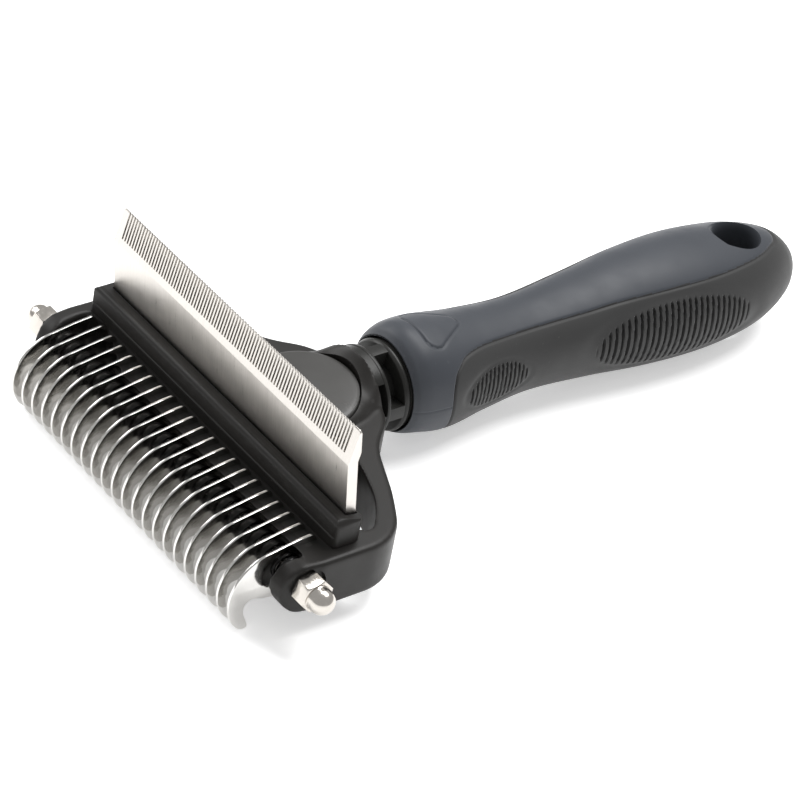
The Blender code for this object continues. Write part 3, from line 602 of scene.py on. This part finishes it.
def handle_grid():
    """Shares and angles of the handle's fine grid, with rows drawn onto the grip's edge."""
    rows = np.arange(0.0, 0.965, GRID_STEP / HANDLE_LENGTH)
    tail = 0.965 + 0.035 * np.sin(np.linspace(0, math.pi / 2, 26))
    shares = np.concatenate([rows, tail])
    angles = np.linspace(0, 2 * math.pi, GRID_ROUND, endpoint=False)
    share, angle = np.meshgrid(shares, angles, indexing="ij")
    distance = grip_distance(handle_surface(share, angle))
    across = np.gradient(distance, axis=1)
    along = np.gradient(distance, axis=0)
    turn = steps_to_edge(distance, across)
    slide = steps_to_edge(distance, along)
    by_turn = (np.abs(turn) < 0.5) & (np.abs(turn) <= np.abs(slide))
    by_slide = (np.abs(slide) < 0.5) & ~by_turn
    by_slide[0, :] = False
    by_slide[-30:, :] = False
    angle = angle + np.where(by_turn, turn, 0.0) * (angles[1] - angles[0])
    share = share + np.where(by_slide, slide, 0.0) * (shares[1] - shares[0])
    return share, angle


def handle_relief(points):
    """How far the surface stands out from the plain form: pads, thumb rest and grooves."""
    distance = grip_distance(points)
    relief = pad_relief(points) + thumb_relief(points)
    relief -= GROOVE_DEPTH * np.exp(-((distance / GROOVE_WIDTH) ** 2))
    parting = np.exp(-(((points[..., 2] - PARTING_Z) / 0.2) ** 2)) * (distance < -0.5)
    return relief - 0.16 * parting


def make_handle():
    """One fine skin, split into the two shells and the grip."""
    share, angle = handle_grid()
    points = handle_surface(share, angle)
    across = np.roll(points, -1, axis=1) - np.roll(points, 1, axis=1)
    along = np.gradient(points, axis=0)
    normal = np.cross(along, across)
    normal /= np.linalg.norm(normal, axis=-1)[..., None] + 1e-12
    points = points + normal * handle_relief(points)[..., None]
    lip = ((12.3, 4.0), (12.3, 0.7), (12.38, 0.3), (12.6, 0.05))
    rings = [lip_ring(radius, setback) for radius, setback in lip] + list(points)
    skin = loft("handle_skin", rings)
    skin.data.materials.clear()
    for material in (SLATE, SLATE, RUBBER):
        skin.data.materials.append(material)
    mark_regions(skin)
    boolean(skin, hole_cutter())
    for index, name, slot, node in (
        (0, "upper_shell_skin", "slate_plastic", "handle_upper_shell"),
        (1, "lower_shell_skin", "slate_plastic", "handle_lower_shell"),
        (2, "grip_skin", "grip_rubber", "handle_grip"),
    ):
        part = faces_of(skin, index, name)
        smooth(part, 42)
        finish_piece(part, "handle", slot, node)
    bpy.data.objects.remove(skin, do_unlink=True)


def lip_ring(radius, setback):
    """A ring of the skin inside the handle's mouth."""
    angles = np.linspace(0, 2 * math.pi, GRID_ROUND, endpoint=False)
    y = np.full(GRID_ROUND, MOUTH_Y + setback)
    return np.stack([radius * np.cos(angles), y, AXIS_Z + radius * np.sin(angles)], axis=-1)


def mark_regions(skin):
    """Gives each face the material of the piece that it belongs to."""
    mesh = skin.data
    centres = np.zeros(len(mesh.polygons) * 3)
    mesh.polygons.foreach_get("center", centres)
    centres = centres.reshape(-1, 3) / MM - (0.0, FACE_Y, 0.0)
    lower = centres[:, 2] < PARTING_Z
    region = np.where(grip_distance(centres) > 0, 2, np.where(lower, 1, 0))
    mesh.polygons.foreach_set("material_index", region.astype(np.int32))


def hole_cutter():
    """The hanging hole: a straight bore with a wide flare at the top and a small one below."""
    low = ((2.4, -4.0), (1.4, 1.2), (0.5, 2.6), (0.0, 4.6))
    profile = [(0.0, -4.0)] + [(HOLE_RADIUS + reach, z) for reach, z in low]
    profile += [
        (HOLE_RADIUS + FLARE_REACH * (1 - math.cos(a)), FLARE_TOP - FLARE_DEPTH + FLARE_DEPTH * math.sin(a))
        for a in np.linspace(0, 1.35, 12)
    ]
    profile += [(HOLE_RADIUS + FLARE_REACH, FLARE_TOP + 6.0), (0.0, FLARE_TOP + 6.0)]
    return lathe("hole_cut", profile, (0.0, HOLE_Y, 0.0), (0, 0, 1), 96, SLATE)


def faces_of(source, index, name):
    """A copy of the faces with one material index."""
    bm = bmesh.new()
    bm.from_mesh(source.data)
    others = [face for face in bm.faces if face.material_index != index]
    bmesh.ops.delete(bm, geom=others, context="FACES")
    for face in bm.faces:
        face.material_index = 0
    mesh = bpy.data.meshes.new(name)
    bm.to_mesh(mesh)
    bm.free()
    return link(name, mesh, source.data.materials[index])


# ---------------------------------------------------------------- neck

# Windows between the ribs: (degrees from the top towards +X, width in degrees)
REAR_WINDOWS = ((45, 72), (135, 72), (225, 72), (315, 72))
FRONT_WINDOWS = ((68, 42), (128, 42), (180, 26), (232, 42), (292, 42))
NECK_CORE = 7.6
RIB_SETBACK = 0.15
ROW_GAP = 0.1
COLLAR_FRONT = SOCKET_FRONT + 1.0


def rib_ring(y, outer, core, windows):
    """A ring with pockets between ribs."""
    points = []
    for i in range(360):
        inside = any(abs((i - angle + 180) % 360 - 180) < width / 2 for angle, width in windows)
        radius = core if inside else outer
        angle = math.radians(i)
        points.append((radius * math.sin(angle), y, AXIS_Z + radius * math.cos(angle)))
    return points


def make_flex_row(name, start, end, windows, bodies, node):
    """A row of ribs with pockets between them, fixed in the row frame."""
    levels = np.linspace(start, end, 9)
    rings = [rib_ring(y, NECK_RADIUS - RIB_SETBACK, NECK_CORE, windows) for y in levels]
    row = loft(name, rings, NECK)
    smooth(row, 30)
    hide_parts(node)
    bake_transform(row)


def make_neck():
    """The ring between the rows, the collar in the handle's mouth and the two rows of ribs."""
    mid = RING_REAR - RING_FRONT
    rim = NECK_RADIUS
    profile = [(0.0, 0.0), (rim - 0.35, 0.0), (rim - 0.08, 0.12), (rim, 0.35)]
    profile += [(rim, mid - 0.35), (rim - 0.08, mid - 0.12), (rim - 0.35, mid), (0.0, mid)]
    ring = lathe("mid_ring", profile, (0.0, RING_FRONT, AXIS_Z), (0, 1, 0), 128, NECK)
    smooth(ring)
    finish_piece(ring, "neck_link", "neck_plastic", "neck_mid_ring")
    length = MOUTH_Y - COLLAR_FRONT
    barrel = [
        (rim - 0.45 + 0.45 * math.sin(a), 0.1 + (length - 0.1) * a / math.pi)
        for a in np.linspace(0, math.pi, 15)
    ]
    profile = [(0.0, 0.0), (rim - 0.6, 0.0)] + barrel
    profile += [(rim - 0.3, length + 0.4), (rim - 0.3, length + 2.0), (0.0, length + 2.0)]
    socket = lathe("neck_socket_ring", profile, (0.0, COLLAR_FRONT, AXIS_Z), (0, 1, 0), 128, NECK)
    smooth(socket)
    finish_piece(socket, "handle", "neck_plastic", "neck_socket")
    rear = (COLLAR_FRONT + ROW_GAP, RING_REAR - ROW_GAP)
    make_flex_row("rear_ribs", *rear, REAR_WINDOWS, ("handle", "neck_link"), "neck_flex_rear")
    front = (RING_FRONT + ROW_GAP, NECK_FRONT - ROW_GAP)
    make_flex_row("front_ribs", *front, FRONT_WINDOWS, ("neck_link", "head"), "neck_flex_front")


# ---------------------------------------------------------------- head frame

ARM_INNER = COMB_HALF + 1.6
ARM_FRONT = 19.6
ARM_CURL = 2.2
BAY_REAR = -4.4
HUB_WIDTH = 17.2
HUB_START = 6.5
WINDOW_FRONT = 5.6
WINDOW_INNER = HUB_WIDTH + 1.8
WINDOW_OUTER = ARM_OUTER - 6.4
VOXEL = 0.42
COVER_Y = 23.0
COVER_SINK = 0.15
COVER_SEAT = 15.5
COVER_RADIUS = 15.1
NUT_SEAT_RADIUS = 5.05
ROD_BORE = 2.85

# Inward turn of the arms: (share of the turn, y)
ARM_BEND = ((0.0, -9.0), (0.25, -13.0), (0.6, -16.5), (1.0, -19.6), (1.1, -21.0))
# Far edge of a window: (share of its width, distance behind its front edge)
WINDOW_EDGE = (
    (1.0, 1.2), (1.01, 3.0), (0.968, 5.0), (0.848, 8.2), (0.694, 11.2),
    (0.50, 13.6), (0.29, 15.6), (0.12, 16.6), (0.03, 16.0), (0.0, 14.0),
)
# Rear edge between shoulder and hub: (share of the way out from the hub, y)
SHOULDER_EDGE = (
    (0.74, 19.9), (0.61, 22.9), (0.44, 26.2), (0.295, 29.2), (0.20, 32.4), (0.10, 37.0), (0.02, 39.4),
)
# The hub that rises to the neck: (y, half width, top above the slope, bottom below the slab, squareness)
HUB_RINGS = (
    (6.5, 17.2, -0.4, 0.4, 8.0),
    (12.0, 17.2, 0.0, 0.0, 7.0),
    (19.0, 17.2, 0.0, -0.5, 6.0),
    (26.0, 17.1, 0.0, -1.0, 5.0),
    (32.0, 16.2, 0.0, -1.7, 3.8),
    (36.5, 14.6, 0.5, -2.5, 2.8),
    (40.4, 13.1, 3.7, -3.4, 2.0),
)


def frame_plan():
    """The frame's outline from above, with its bay at the front and a shoulder on each side."""
    half = arc((ARM_INNER - 3.0, BAY_REAR - 3.0), 3.0, 90, 0, 10)
    half += [tuple(p) for p in spline([(ARM_INNER - ARM_CURL * s, y) for s, y in ARM_BEND], 5)]
    half += [tuple(p) for p in spline([(ARM_OUTER - ARM_CURL * s, y) for s, y in reversed(ARM_BEND)], 5)]
    turn = arc((ARM_OUTER - 15.0, 4.8), 15.0, 0, 58, 16)
    start = NECK_RADIUS + 1.9
    rear = [(start + share * (ARM_OUTER - start), y) for share, y in SHOULDER_EDGE]
    half += turn[:-1] + [tuple(p) for p in spline([turn[-1]] + rear, 5)]
    half += [(NECK_RADIUS + 0.4, NECK_FRONT)]
    return mirrored(half)


def window_plan(side):
    """The outline of one window from above."""
    width = WINDOW_OUTER - WINDOW_INNER
    far = [(WINDOW_INNER + share * width, WINDOW_FRONT + depth) for share, depth in WINDOW_EDGE]
    points = [(WINDOW_INNER + 0.5, WINDOW_FRONT), (WINDOW_OUTER - 1.0, WINDOW_FRONT)]
    points += [tuple(p) for p in spline(far, 5)]
    return [(side * x, y) for x, y in points]


def hub_top(y):
    """Height of the hub's sloping top."""
    return FRAME_TOP + 0.2 + (y - HUB_START - 1.5) * math.tan(HUB_SLOPE)


def hub_rings():
    """Rounded squares that turn into circles towards the neck."""
    rings = []
    for y, width, rise, drop, power in spline(HUB_RINGS, 6):
        top = hub_top(min(y, NECK_FRONT)) + rise
        bottom = FRAME_BOTTOM + drop
        middle_z = (top + bottom) / 2
        ring = []
        for i in range(72):
            c = math.cos(2 * math.pi * i / 72)
            s = math.sin(2 * math.pi * i / 72)
            x = math.copysign(abs(c) ** (2 / power), c) * width
            z = math.copysign(abs(s) ** (2 / power), s) * (top - bottom) / 2
            ring.append((x, y, middle_z + z))
        rings.append(ring)
    return rings


def make_frame():
    """Slab, hub and windows, softened like a moulding, then the machined seats."""
    body = prism("frame_skin", frame_plan(), FRAME_BOTTOM, FRAME_TOP, "XY", 1.2, 4)
    half = (FRAME_TOP - FRAME_BOTTOM) / 2
    profile = arc((-ARM_FRONT + half, FRAME_BOTTOM + half), half, 270, 90, 28)
    profile += [(46.0, FRAME_TOP + 0.01), (46.0, FRAME_BOTTOM - 0.01)]
    boolean(body, prism("side_shape", profile, -60, 60, "YZ"), "INTERSECT", "MANIFOLD")
    boolean(body, loft("hub_shape", hub_rings()), "UNION")
    for sign in (-1, 1):
        boolean(body, prism("window_cut", window_plan(sign), FRAME_BOTTOM - 5, FRAME_TOP + 5, "XY"))
    remesh = body.modifiers.new("even", "REMESH")
    remesh.mode = "VOXEL"
    remesh.voxel_size = VOXEL * MM
    soften = body.modifiers.new("soften", "SMOOTH")
    soften.factor = 0.5
    soften.iterations = 9
    applied(body)
    centre, normal = cover_place()
    boolean(body, lathe("cover_seat", disc(COVER_SEAT, -2.6, 4.0), centre, normal, 128))
    for sign in (-1, 1):
        place = (sign * ARM_OUTER, -ROD_SETOFF, ROD_Z)
        boolean(body, lathe("nut_seat", disc(NUT_SEAT_RADIUS, -1.0, 4.0), place, (sign, 0, 0), 64))
        boolean(body, lathe("bore", disc(ROD_BORE, -8.0, 1.0), place, (sign, 0, 0), 48))
    body.data.materials.clear()
    body.data.materials.append(BLACK)
    smooth(body, 40)
    finish_piece(body, "head", "black_plastic", "head_frame")


def disc(radius, low, high):
    """Profile of a plain cylinder."""
    return [(0.0, low), (radius, low), (radius, high), (0.0, high)]


def cover_place():
    """Middle of the cover's rim and the way that it faces."""
    normal = (0.0, -math.sin(HUB_SLOPE), math.cos(HUB_SLOPE))
    return (0.0, COVER_Y, hub_top(COVER_Y) - COVER_SINK), normal


def make_cover():
    """The round cover on the hub, faintly domed, with a rounded rim."""
    centre, normal = cover_place()
    rim = [(COVER_RADIUS, -2.2), (COVER_RADIUS, -0.45), (COVER_RADIUS - 0.15, -0.12)]
    dome = [(14.6 * math.cos(a), 0.35 * math.sin(a)) for a in np.linspace(0, math.pi / 2, 12)]
    profile = [(0.0, -2.2)] + rim + dome
    cover = lathe("hub_cover_disc", profile, centre, normal, 128, COVER)
    smooth(cover)
    finish_piece(cover, "head", "cover_plastic", "hub_cover")


# ---------------------------------------------------------------- comb and holder

COMB_THICKNESS = 2.9
COMB_PLATE = 15.5
COMB_TOP = 24.6
COMB_FOOT_Z = HOLDER_TOP - 0.7
SLOTS = 87
SLOT_WIDTH = 0.56
SLOT_FLOOR = 17.9
END_TOOTH = 2.5
HOLDER_ROUND = 1.5
HOLDER_FRONT_CORNER = 1.3
HOLDER_REAR_CORNER = 3.2
HOLDER_TOP_CORNER = 2.4


def lean(obj):
    """Turns a piece made upright in the comb's own axes to the comb's lean and place."""
    place = Matrix.Translation((0.0, FACE_Y * MM, COMB_FOOT_Z * MM)) @ Matrix.Rotation(COMB_LEAN, 4, "X")
    obj.data.transform(place @ Matrix.Translation((0.0, -FACE_Y * MM, 0.0)))
    return obj


def comb_profile():
    """The upright comb from the side: a plate, and teeth that lean back from its front face."""
    back = COMB_THICKNESS + 0.84
    swell = [(COMB_THICKNESS, 15.4), (COMB_THICKNESS + 0.2, 16.0), (back - 0.15, 17.3), (back, 18.0)]
    tip = [(back, COMB_TOP - 0.9), (3.6, COMB_TOP - 0.1), (3.4, COMB_TOP), (3.15, COMB_TOP - 0.25)]
    face = [(0.06, COMB_PLATE + 0.15), (0.0, COMB_PLATE - 0.1)]
    return [(0.0, -5.6), (COMB_THICKNESS, -5.6)] + swell + tip + face


def make_comb():
    """A brushed steel blade with a row of fine teeth cut into its upper edge."""
    comb = prism("comb_blade", comb_profile(), -COMB_HALF, COMB_HALF, "YZ", material=COMB_STEEL)
    corner = arc((COMB_HALF - 0.9, COMB_TOP - 0.9), 0.9, 0, 90, 6)
    face = prism("comb_face", mirrored([(COMB_HALF, -9.0)] + corner), -2.0, 7.0, "XZ")
    boolean(comb, face, "INTERSECT")
    pitch = (2 * COMB_HALF - 2 * END_TOOTH - SLOT_WIDTH) / (SLOTS - 1)
    floor = [(y, SLOT_FLOOR - 0.75 + 0.011 * (y + 4.5) ** 2) for y in np.linspace(-1.0, 6.0, 9)]
    outline = floor + [(6.0, COMB_TOP + 2.0), (-1.0, COMB_TOP + 2.0)]
    boolean(comb, repeated_prism("slots", outline, SLOT_WIDTH, pitch, SLOTS))
    bevel(comb, 0.07, 1, 50)
    lean(comb)
    smooth(comb, 25)
    finish_piece(comb, "head", "brushed_steel", "deshedding_comb")


def repeated_prism(name, outline, width, pitch, count):
    """A row of separate flat cutters in one mesh, spaced along X."""
    points = []
    faces = []
    size = len(outline)
    for i in range(count):
        x = (i - (count - 1) / 2) * pitch
        base = len(points)
        for side in (-width / 2, width / 2):
            points += [(x + side, y, z) for y, z in outline]
        for k in range(size):
            n = (k + 1) % size
            faces.append((base + k, base + n, base + size + n, base + size + k))
        faces.append(tuple(base + k for k in range(size)))
        faces.append(tuple(base + size + k for k in range(size)))
    return outward(new_mesh_object(name, points, faces))


def make_holder():
    """The bar that holds the comb: a stepped profile, rounded in plan and at its upper ends."""
    base = FRAME_TOP + 0.05
    rear_top = HOLDER_TOP - 1.0
    shoulder = HOLDER_TOP - HOLDER_ROUND
    profile = [(HOLDER_FRONT, base), (HOLDER_FRONT, base + 2.6), (HOLDER_FRONT + 0.25, base + 2.9)]
    profile += [(HOLDER_FRONT + 0.3, shoulder)]
    profile += arc((HOLDER_FRONT + 0.3 + HOLDER_ROUND, shoulder), HOLDER_ROUND, 180, 90, 6)
    profile += [(HOLDER_REAR - 1.6, rear_top)]
    profile += [
        (HOLDER_REAR - 1.2 + math.sin(a), rear_top - 1.0 + math.cos(a))
        for a in np.linspace(0.2, math.pi / 2, 6)
    ]
    profile += [(HOLDER_REAR, base)]
    holder = prism("holder_bar", profile, -HOLDER_HALF, HOLDER_HALF, "YZ", material=BLACK)
    front, rear, end = HOLDER_FRONT_CORNER, HOLDER_REAR_CORNER, HOLDER_TOP_CORNER
    plan = arc((HOLDER_HALF - front, HOLDER_FRONT + front), front, -90, 0, 8)
    plan += arc((HOLDER_HALF - rear, HOLDER_REAR - rear), rear, 0, 90, 10)
    boolean(holder, prism("holder_plan", mirrored(plan), base - 2, HOLDER_TOP + 2, "XY"), "INTERSECT")
    face = [(HOLDER_HALF, base - 1.0)] + arc((HOLDER_HALF - end, HOLDER_TOP - end), end, 0, 90, 8)
    boolean(holder, prism("holder_face", mirrored(face), -8.0, 8.0, "XZ"), "INTERSECT")
    slot = prism("comb_slot", [(-0.35, -5.0), (3.25, -5.0), (3.25, 6.0), (-0.35, 6.0)], -50.35, 50.35, "YZ")
    boolean(holder, lean(slot))
    smooth(holder, 28)
    finish_piece(holder, "head", "black_plastic", "comb_holder")


# ---------------------------------------------------------------- rake

RAKE_BLADES = 22
RAKE_THICKNESS = 0.7
RAKE_REACH = 16.3
RAKE_HUB = 7.8
BLADE_ROUND = 0.14
SPACER_RADIUS = 3.8
NUT_FLATS = 8.0
NUT_HEX = 4.6
NUT_DOME = 3.35
NUT_SHORTENED = 0.5
NUT_TURN = 12
# Outline about the rod: the hook as shares of reach and drop, the hub as shares of its radius
HOOK_OUTLINE = (
    (-0.20, 0.44), (-0.56, 0.35), (-0.84, 0.11), (-0.98, -0.21), (-0.985, -0.51),
    (-0.89, -0.79), (-0.745, -0.965), (-0.625, -0.995), (-0.585, -0.945), (-0.635, -0.81),
    (-0.70, -0.63), (-0.675, -0.485), (-0.55, -0.43), (-0.33, -0.49),
)
HUB_OUTLINE = ((0.0, -1.0), (0.62, -0.79), (1.0, -0.25), (1.04, 0.45), (0.84, 0.96), (0.50, 1.0))


def blade_mesh():
    """A hooked sheet with a hole for the rod and slightly rounded edges, about the rod's axis."""
    outline = [(RAKE_REACH * u, ROD_Z * v) for u, v in HOOK_OUTLINE]
    outline += [(RAKE_HUB * u, RAKE_HUB * v) for u, v in HUB_OUTLINE]
    curve = bpy.data.curves.new("blade_outline", "CURVE")
    curve.dimensions = "2D"
    curve.fill_mode = "BOTH"
    curve.extrude = (RAKE_THICKNESS / 2 - BLADE_ROUND) * MM
    curve.bevel_depth = BLADE_ROUND * MM
    curve.bevel_resolution = 2
    curve.offset = -BLADE_ROUND * MM
    for points in (spline(outline, 7, cyclic=True), arc((0, 0), ROD_BORE, 0, 350, 35)):
        loop = curve.splines.new("POLY")
        loop.points.add(len(points) - 1)
        for point, (u, v) in zip(loop.points, points):
            point.co = (u * MM, v * MM, 0.0, 1.0)
        loop.use_cyclic_u = True
    guide = link("blade_guide", curve)
    guide.rotation_euler = (math.pi / 2, 0.0, math.pi / 2)
    bpy.context.view_layer.update()
    graph = bpy.context.evaluated_depsgraph_get()
    mesh = bpy.data.meshes.new_from_object(guide.evaluated_get(graph))
    mesh.transform(guide.matrix_world)
    bpy.data.objects.remove(guide, do_unlink=True)
    close_mesh(mesh)
    mesh.materials.clear()
    mesh.materials.append(BLADE_STEEL)
    return mesh


def make_rake_blades():
    mesh = blade_mesh()
    for i in range(RAKE_BLADES):
        node = f"rake_blade_{i + 1:02d}"
        blade = link(f"hooked_blade_{i + 1:02d}", mesh)
        blade.location = Vector(to_row((middle(node, 0), -ROD_SETOFF, ROD_Z)))
        smooth(blade, 30)
        finish_piece(blade, "head", "polished_steel", node)


def sleeve(name, length, x):
    """A tube round the rod with softened rims."""
    half = length / 2
    r = SPACER_RADIUS
    profile = [(ROD_BORE, -half + 0.1), (ROD_BORE + 0.1, -half), (r - 0.3, -half)]
    profile += [(r - 0.08, -half + 0.08), (r, -half + 0.3)]
    profile += [(radius, -along) for radius, along in reversed(profile)]
    piece = lathe(name, profile, (x, -ROD_SETOFF, ROD_Z), (1, 0, 0), 64, SPACER)
    smooth(piece, 50)
    return piece


def make_sleeves():
    nodes = [f"rake_spacer_{i + 1:02d}" for i in range(RAKE_BLADES - 1)]
    nodes += ["end_spacer_left", "end_spacer_right"]
    for node in nodes:
        length = edge(node, 0, 1) - edge(node, 0, 0)
        piece = sleeve(node.replace("spacer", "sleeve"), length, middle(node, 0))
        finish_piece(piece, "head", "spacer_plastic", node)


def make_rod():
    end = edge("rake_rod", 0, 1)
    r = ROD_RADIUS
    profile = [(0, -end), (r - 0.4, -end), (r, -end + 0.4), (r, end - 0.4), (r - 0.4, end), (0, end)]
    rod = lathe("threaded_rod", profile, (0.0, -ROD_SETOFF, ROD_Z), (1, 0, 0), 48, ROD_STEEL)
    smooth(rod)
    finish_piece(rod, "head", "nickel", "rake_rod")


def make_cap_nut(side, label):
    """A domed nut: a chamfered hexagon, a collar and a round crown."""
    node = f"cap_nut_{label}"
    base = min(abs(edge(node, 0, 0)), abs(edge(node, 0, 1)))
    tip = max(abs(edge(node, 0, 0)), abs(edge(node, 0, 1)))
    height = tip - base - NUT_SHORTENED
    corner = NUT_FLATS / math.sqrt(3)
    hexagon = arc((-ROD_SETOFF, ROD_Z), corner, NUT_TURN, NUT_TURN + 300, 5)
    rings = [[(side * (base + along), y, z) for y, z in hexagon] for along in (0.0, NUT_HEX)]
    nut = loft(f"domed_nut_{label}", rings, NUT_NICKEL)
    centre = (side * base, -ROD_SETOFF, ROD_Z)
    axis = (side, 0, 0)
    cone = [(0, 0), (corner - 0.45, 0), (corner + 0.1, 0.32), (corner + 0.1, NUT_HEX - 0.42)]
    cone += [(corner - 0.75, NUT_HEX), (0, NUT_HEX)]
    boolean(nut, lathe("chamfer", cone, centre, axis, 96), "INTERSECT")
    crown = [(0.0, 1.0), (NUT_DOME + 0.12, 1.0), (NUT_DOME + 0.12, 4.7), (NUT_DOME, 4.9)]
    crown += arc((0.0, height - NUT_DOME), NUT_DOME, 0, 90, 15)
    boolean(nut, lathe("crown", crown, centre, axis, 96), "UNION")
    bevel(nut, 0.12, 2, 25)
    nut.data.materials.clear()
    nut.data.materials.append(NUT_NICKEL)
    smooth(nut, 40)
    finish_piece(nut, "head", "nickel", node)


# ---------------------------------------------------------------- floor, light and camera

CAMERA_PLACE = (530.43, -446.07, 537.14)
CAMERA_AZIMUTH = math.radians(46.49)
CAMERA_ELEVATION = math.radians(35.84)
CAMERA_ROLL = math.radians(11.28)
CAMERA_LENS = 158.7
FLOOR_HALF = 1500


def make_camera():
    az, el, roll = CAMERA_AZIMUTH, CAMERA_ELEVATION, CAMERA_ROLL
    back = Vector((math.sin(az) * math.cos(el), -math.cos(az) * math.cos(el), math.sin(el)))
    level = Vector((math.cos(az), math.sin(az), 0.0))
    rise = back.cross(level)
    right = level * math.cos(roll) + rise * math.sin(roll)
    up = rise * math.cos(roll) - level * math.sin(roll)
    data = bpy.data.cameras.new("camera")
    data.lens = CAMERA_LENS
    data.sensor_width = 36.0
    data.clip_start = 0.01
    camera = bpy.data.objects.new("camera", data)
    bpy.context.scene.collection.objects.link(camera)
    turn = Matrix((right, up, back)).transposed().to_4x4()
    camera.matrix_world = Matrix.Translation(Vector(to_row(CAMERA_PLACE))) @ turn
    bpy.context.scene.camera = camera


def make_floor():
    corners = [(x * FLOOR_HALF, y * FLOOR_HALF, 0) for x, y in ((-1, -1), (1, -1), (1, 1), (-1, 1))]
    floor = new_mesh_object("floor", corners, [(0, 1, 2, 3)])
    material, _, shader = node_material("floor_paper", 0.75)
    shader.inputs["Base Color"].default_value = (0.93, 0.93, 0.93, 1.0)
    shader.inputs["Emission Color"].default_value = (1.0, 1.0, 1.0, 1.0)
    shader.inputs["Emission Strength"].default_value = 0.42
    floor.data.materials.append(material)


def area_light(name, place, size, power):
    """A rectangular light that faces the row's origin."""
    data = bpy.data.lights.new(name, "AREA")
    data.shape = "RECTANGLE"
    data.size = size[0]
    data.size_y = size[1]
    data.energy = power
    light = bpy.data.objects.new(name, data)
    bpy.context.scene.collection.objects.link(light)
    light.location = place
    light.rotation_euler = (-Vector(place)).to_track_quat("-Z", "Y").to_euler()


def make_lights():
    world = bpy.data.worlds.new("studio")
    bpy.context.scene.world = world
    world.use_nodes = True
    back = world.node_tree.nodes["Background"]
    back.inputs["Color"].default_value = (1.0, 1.0, 1.0, 1.0)
    back.inputs["Strength"].default_value = 0.55
    area_light("overhead", (-0.1, 0.35, 0.9), (0.8, 0.5), 12.0)
    area_light("left_fill", (-0.9, -0.3, 0.55), (0.5, 0.5), 5.0)
    scene = bpy.context.scene
    scene.view_settings.view_transform = "Standard"
    scene.view_settings.look = "None"


make_handle()
make_neck()
make_frame()
make_cover()
make_comb()
make_holder()
make_rake_blades()
make_sleeves()
make_rod()
make_cap_nut(-1, "left")
make_cap_nut(1, "right")
make_floor()
make_lights()
make_camera()
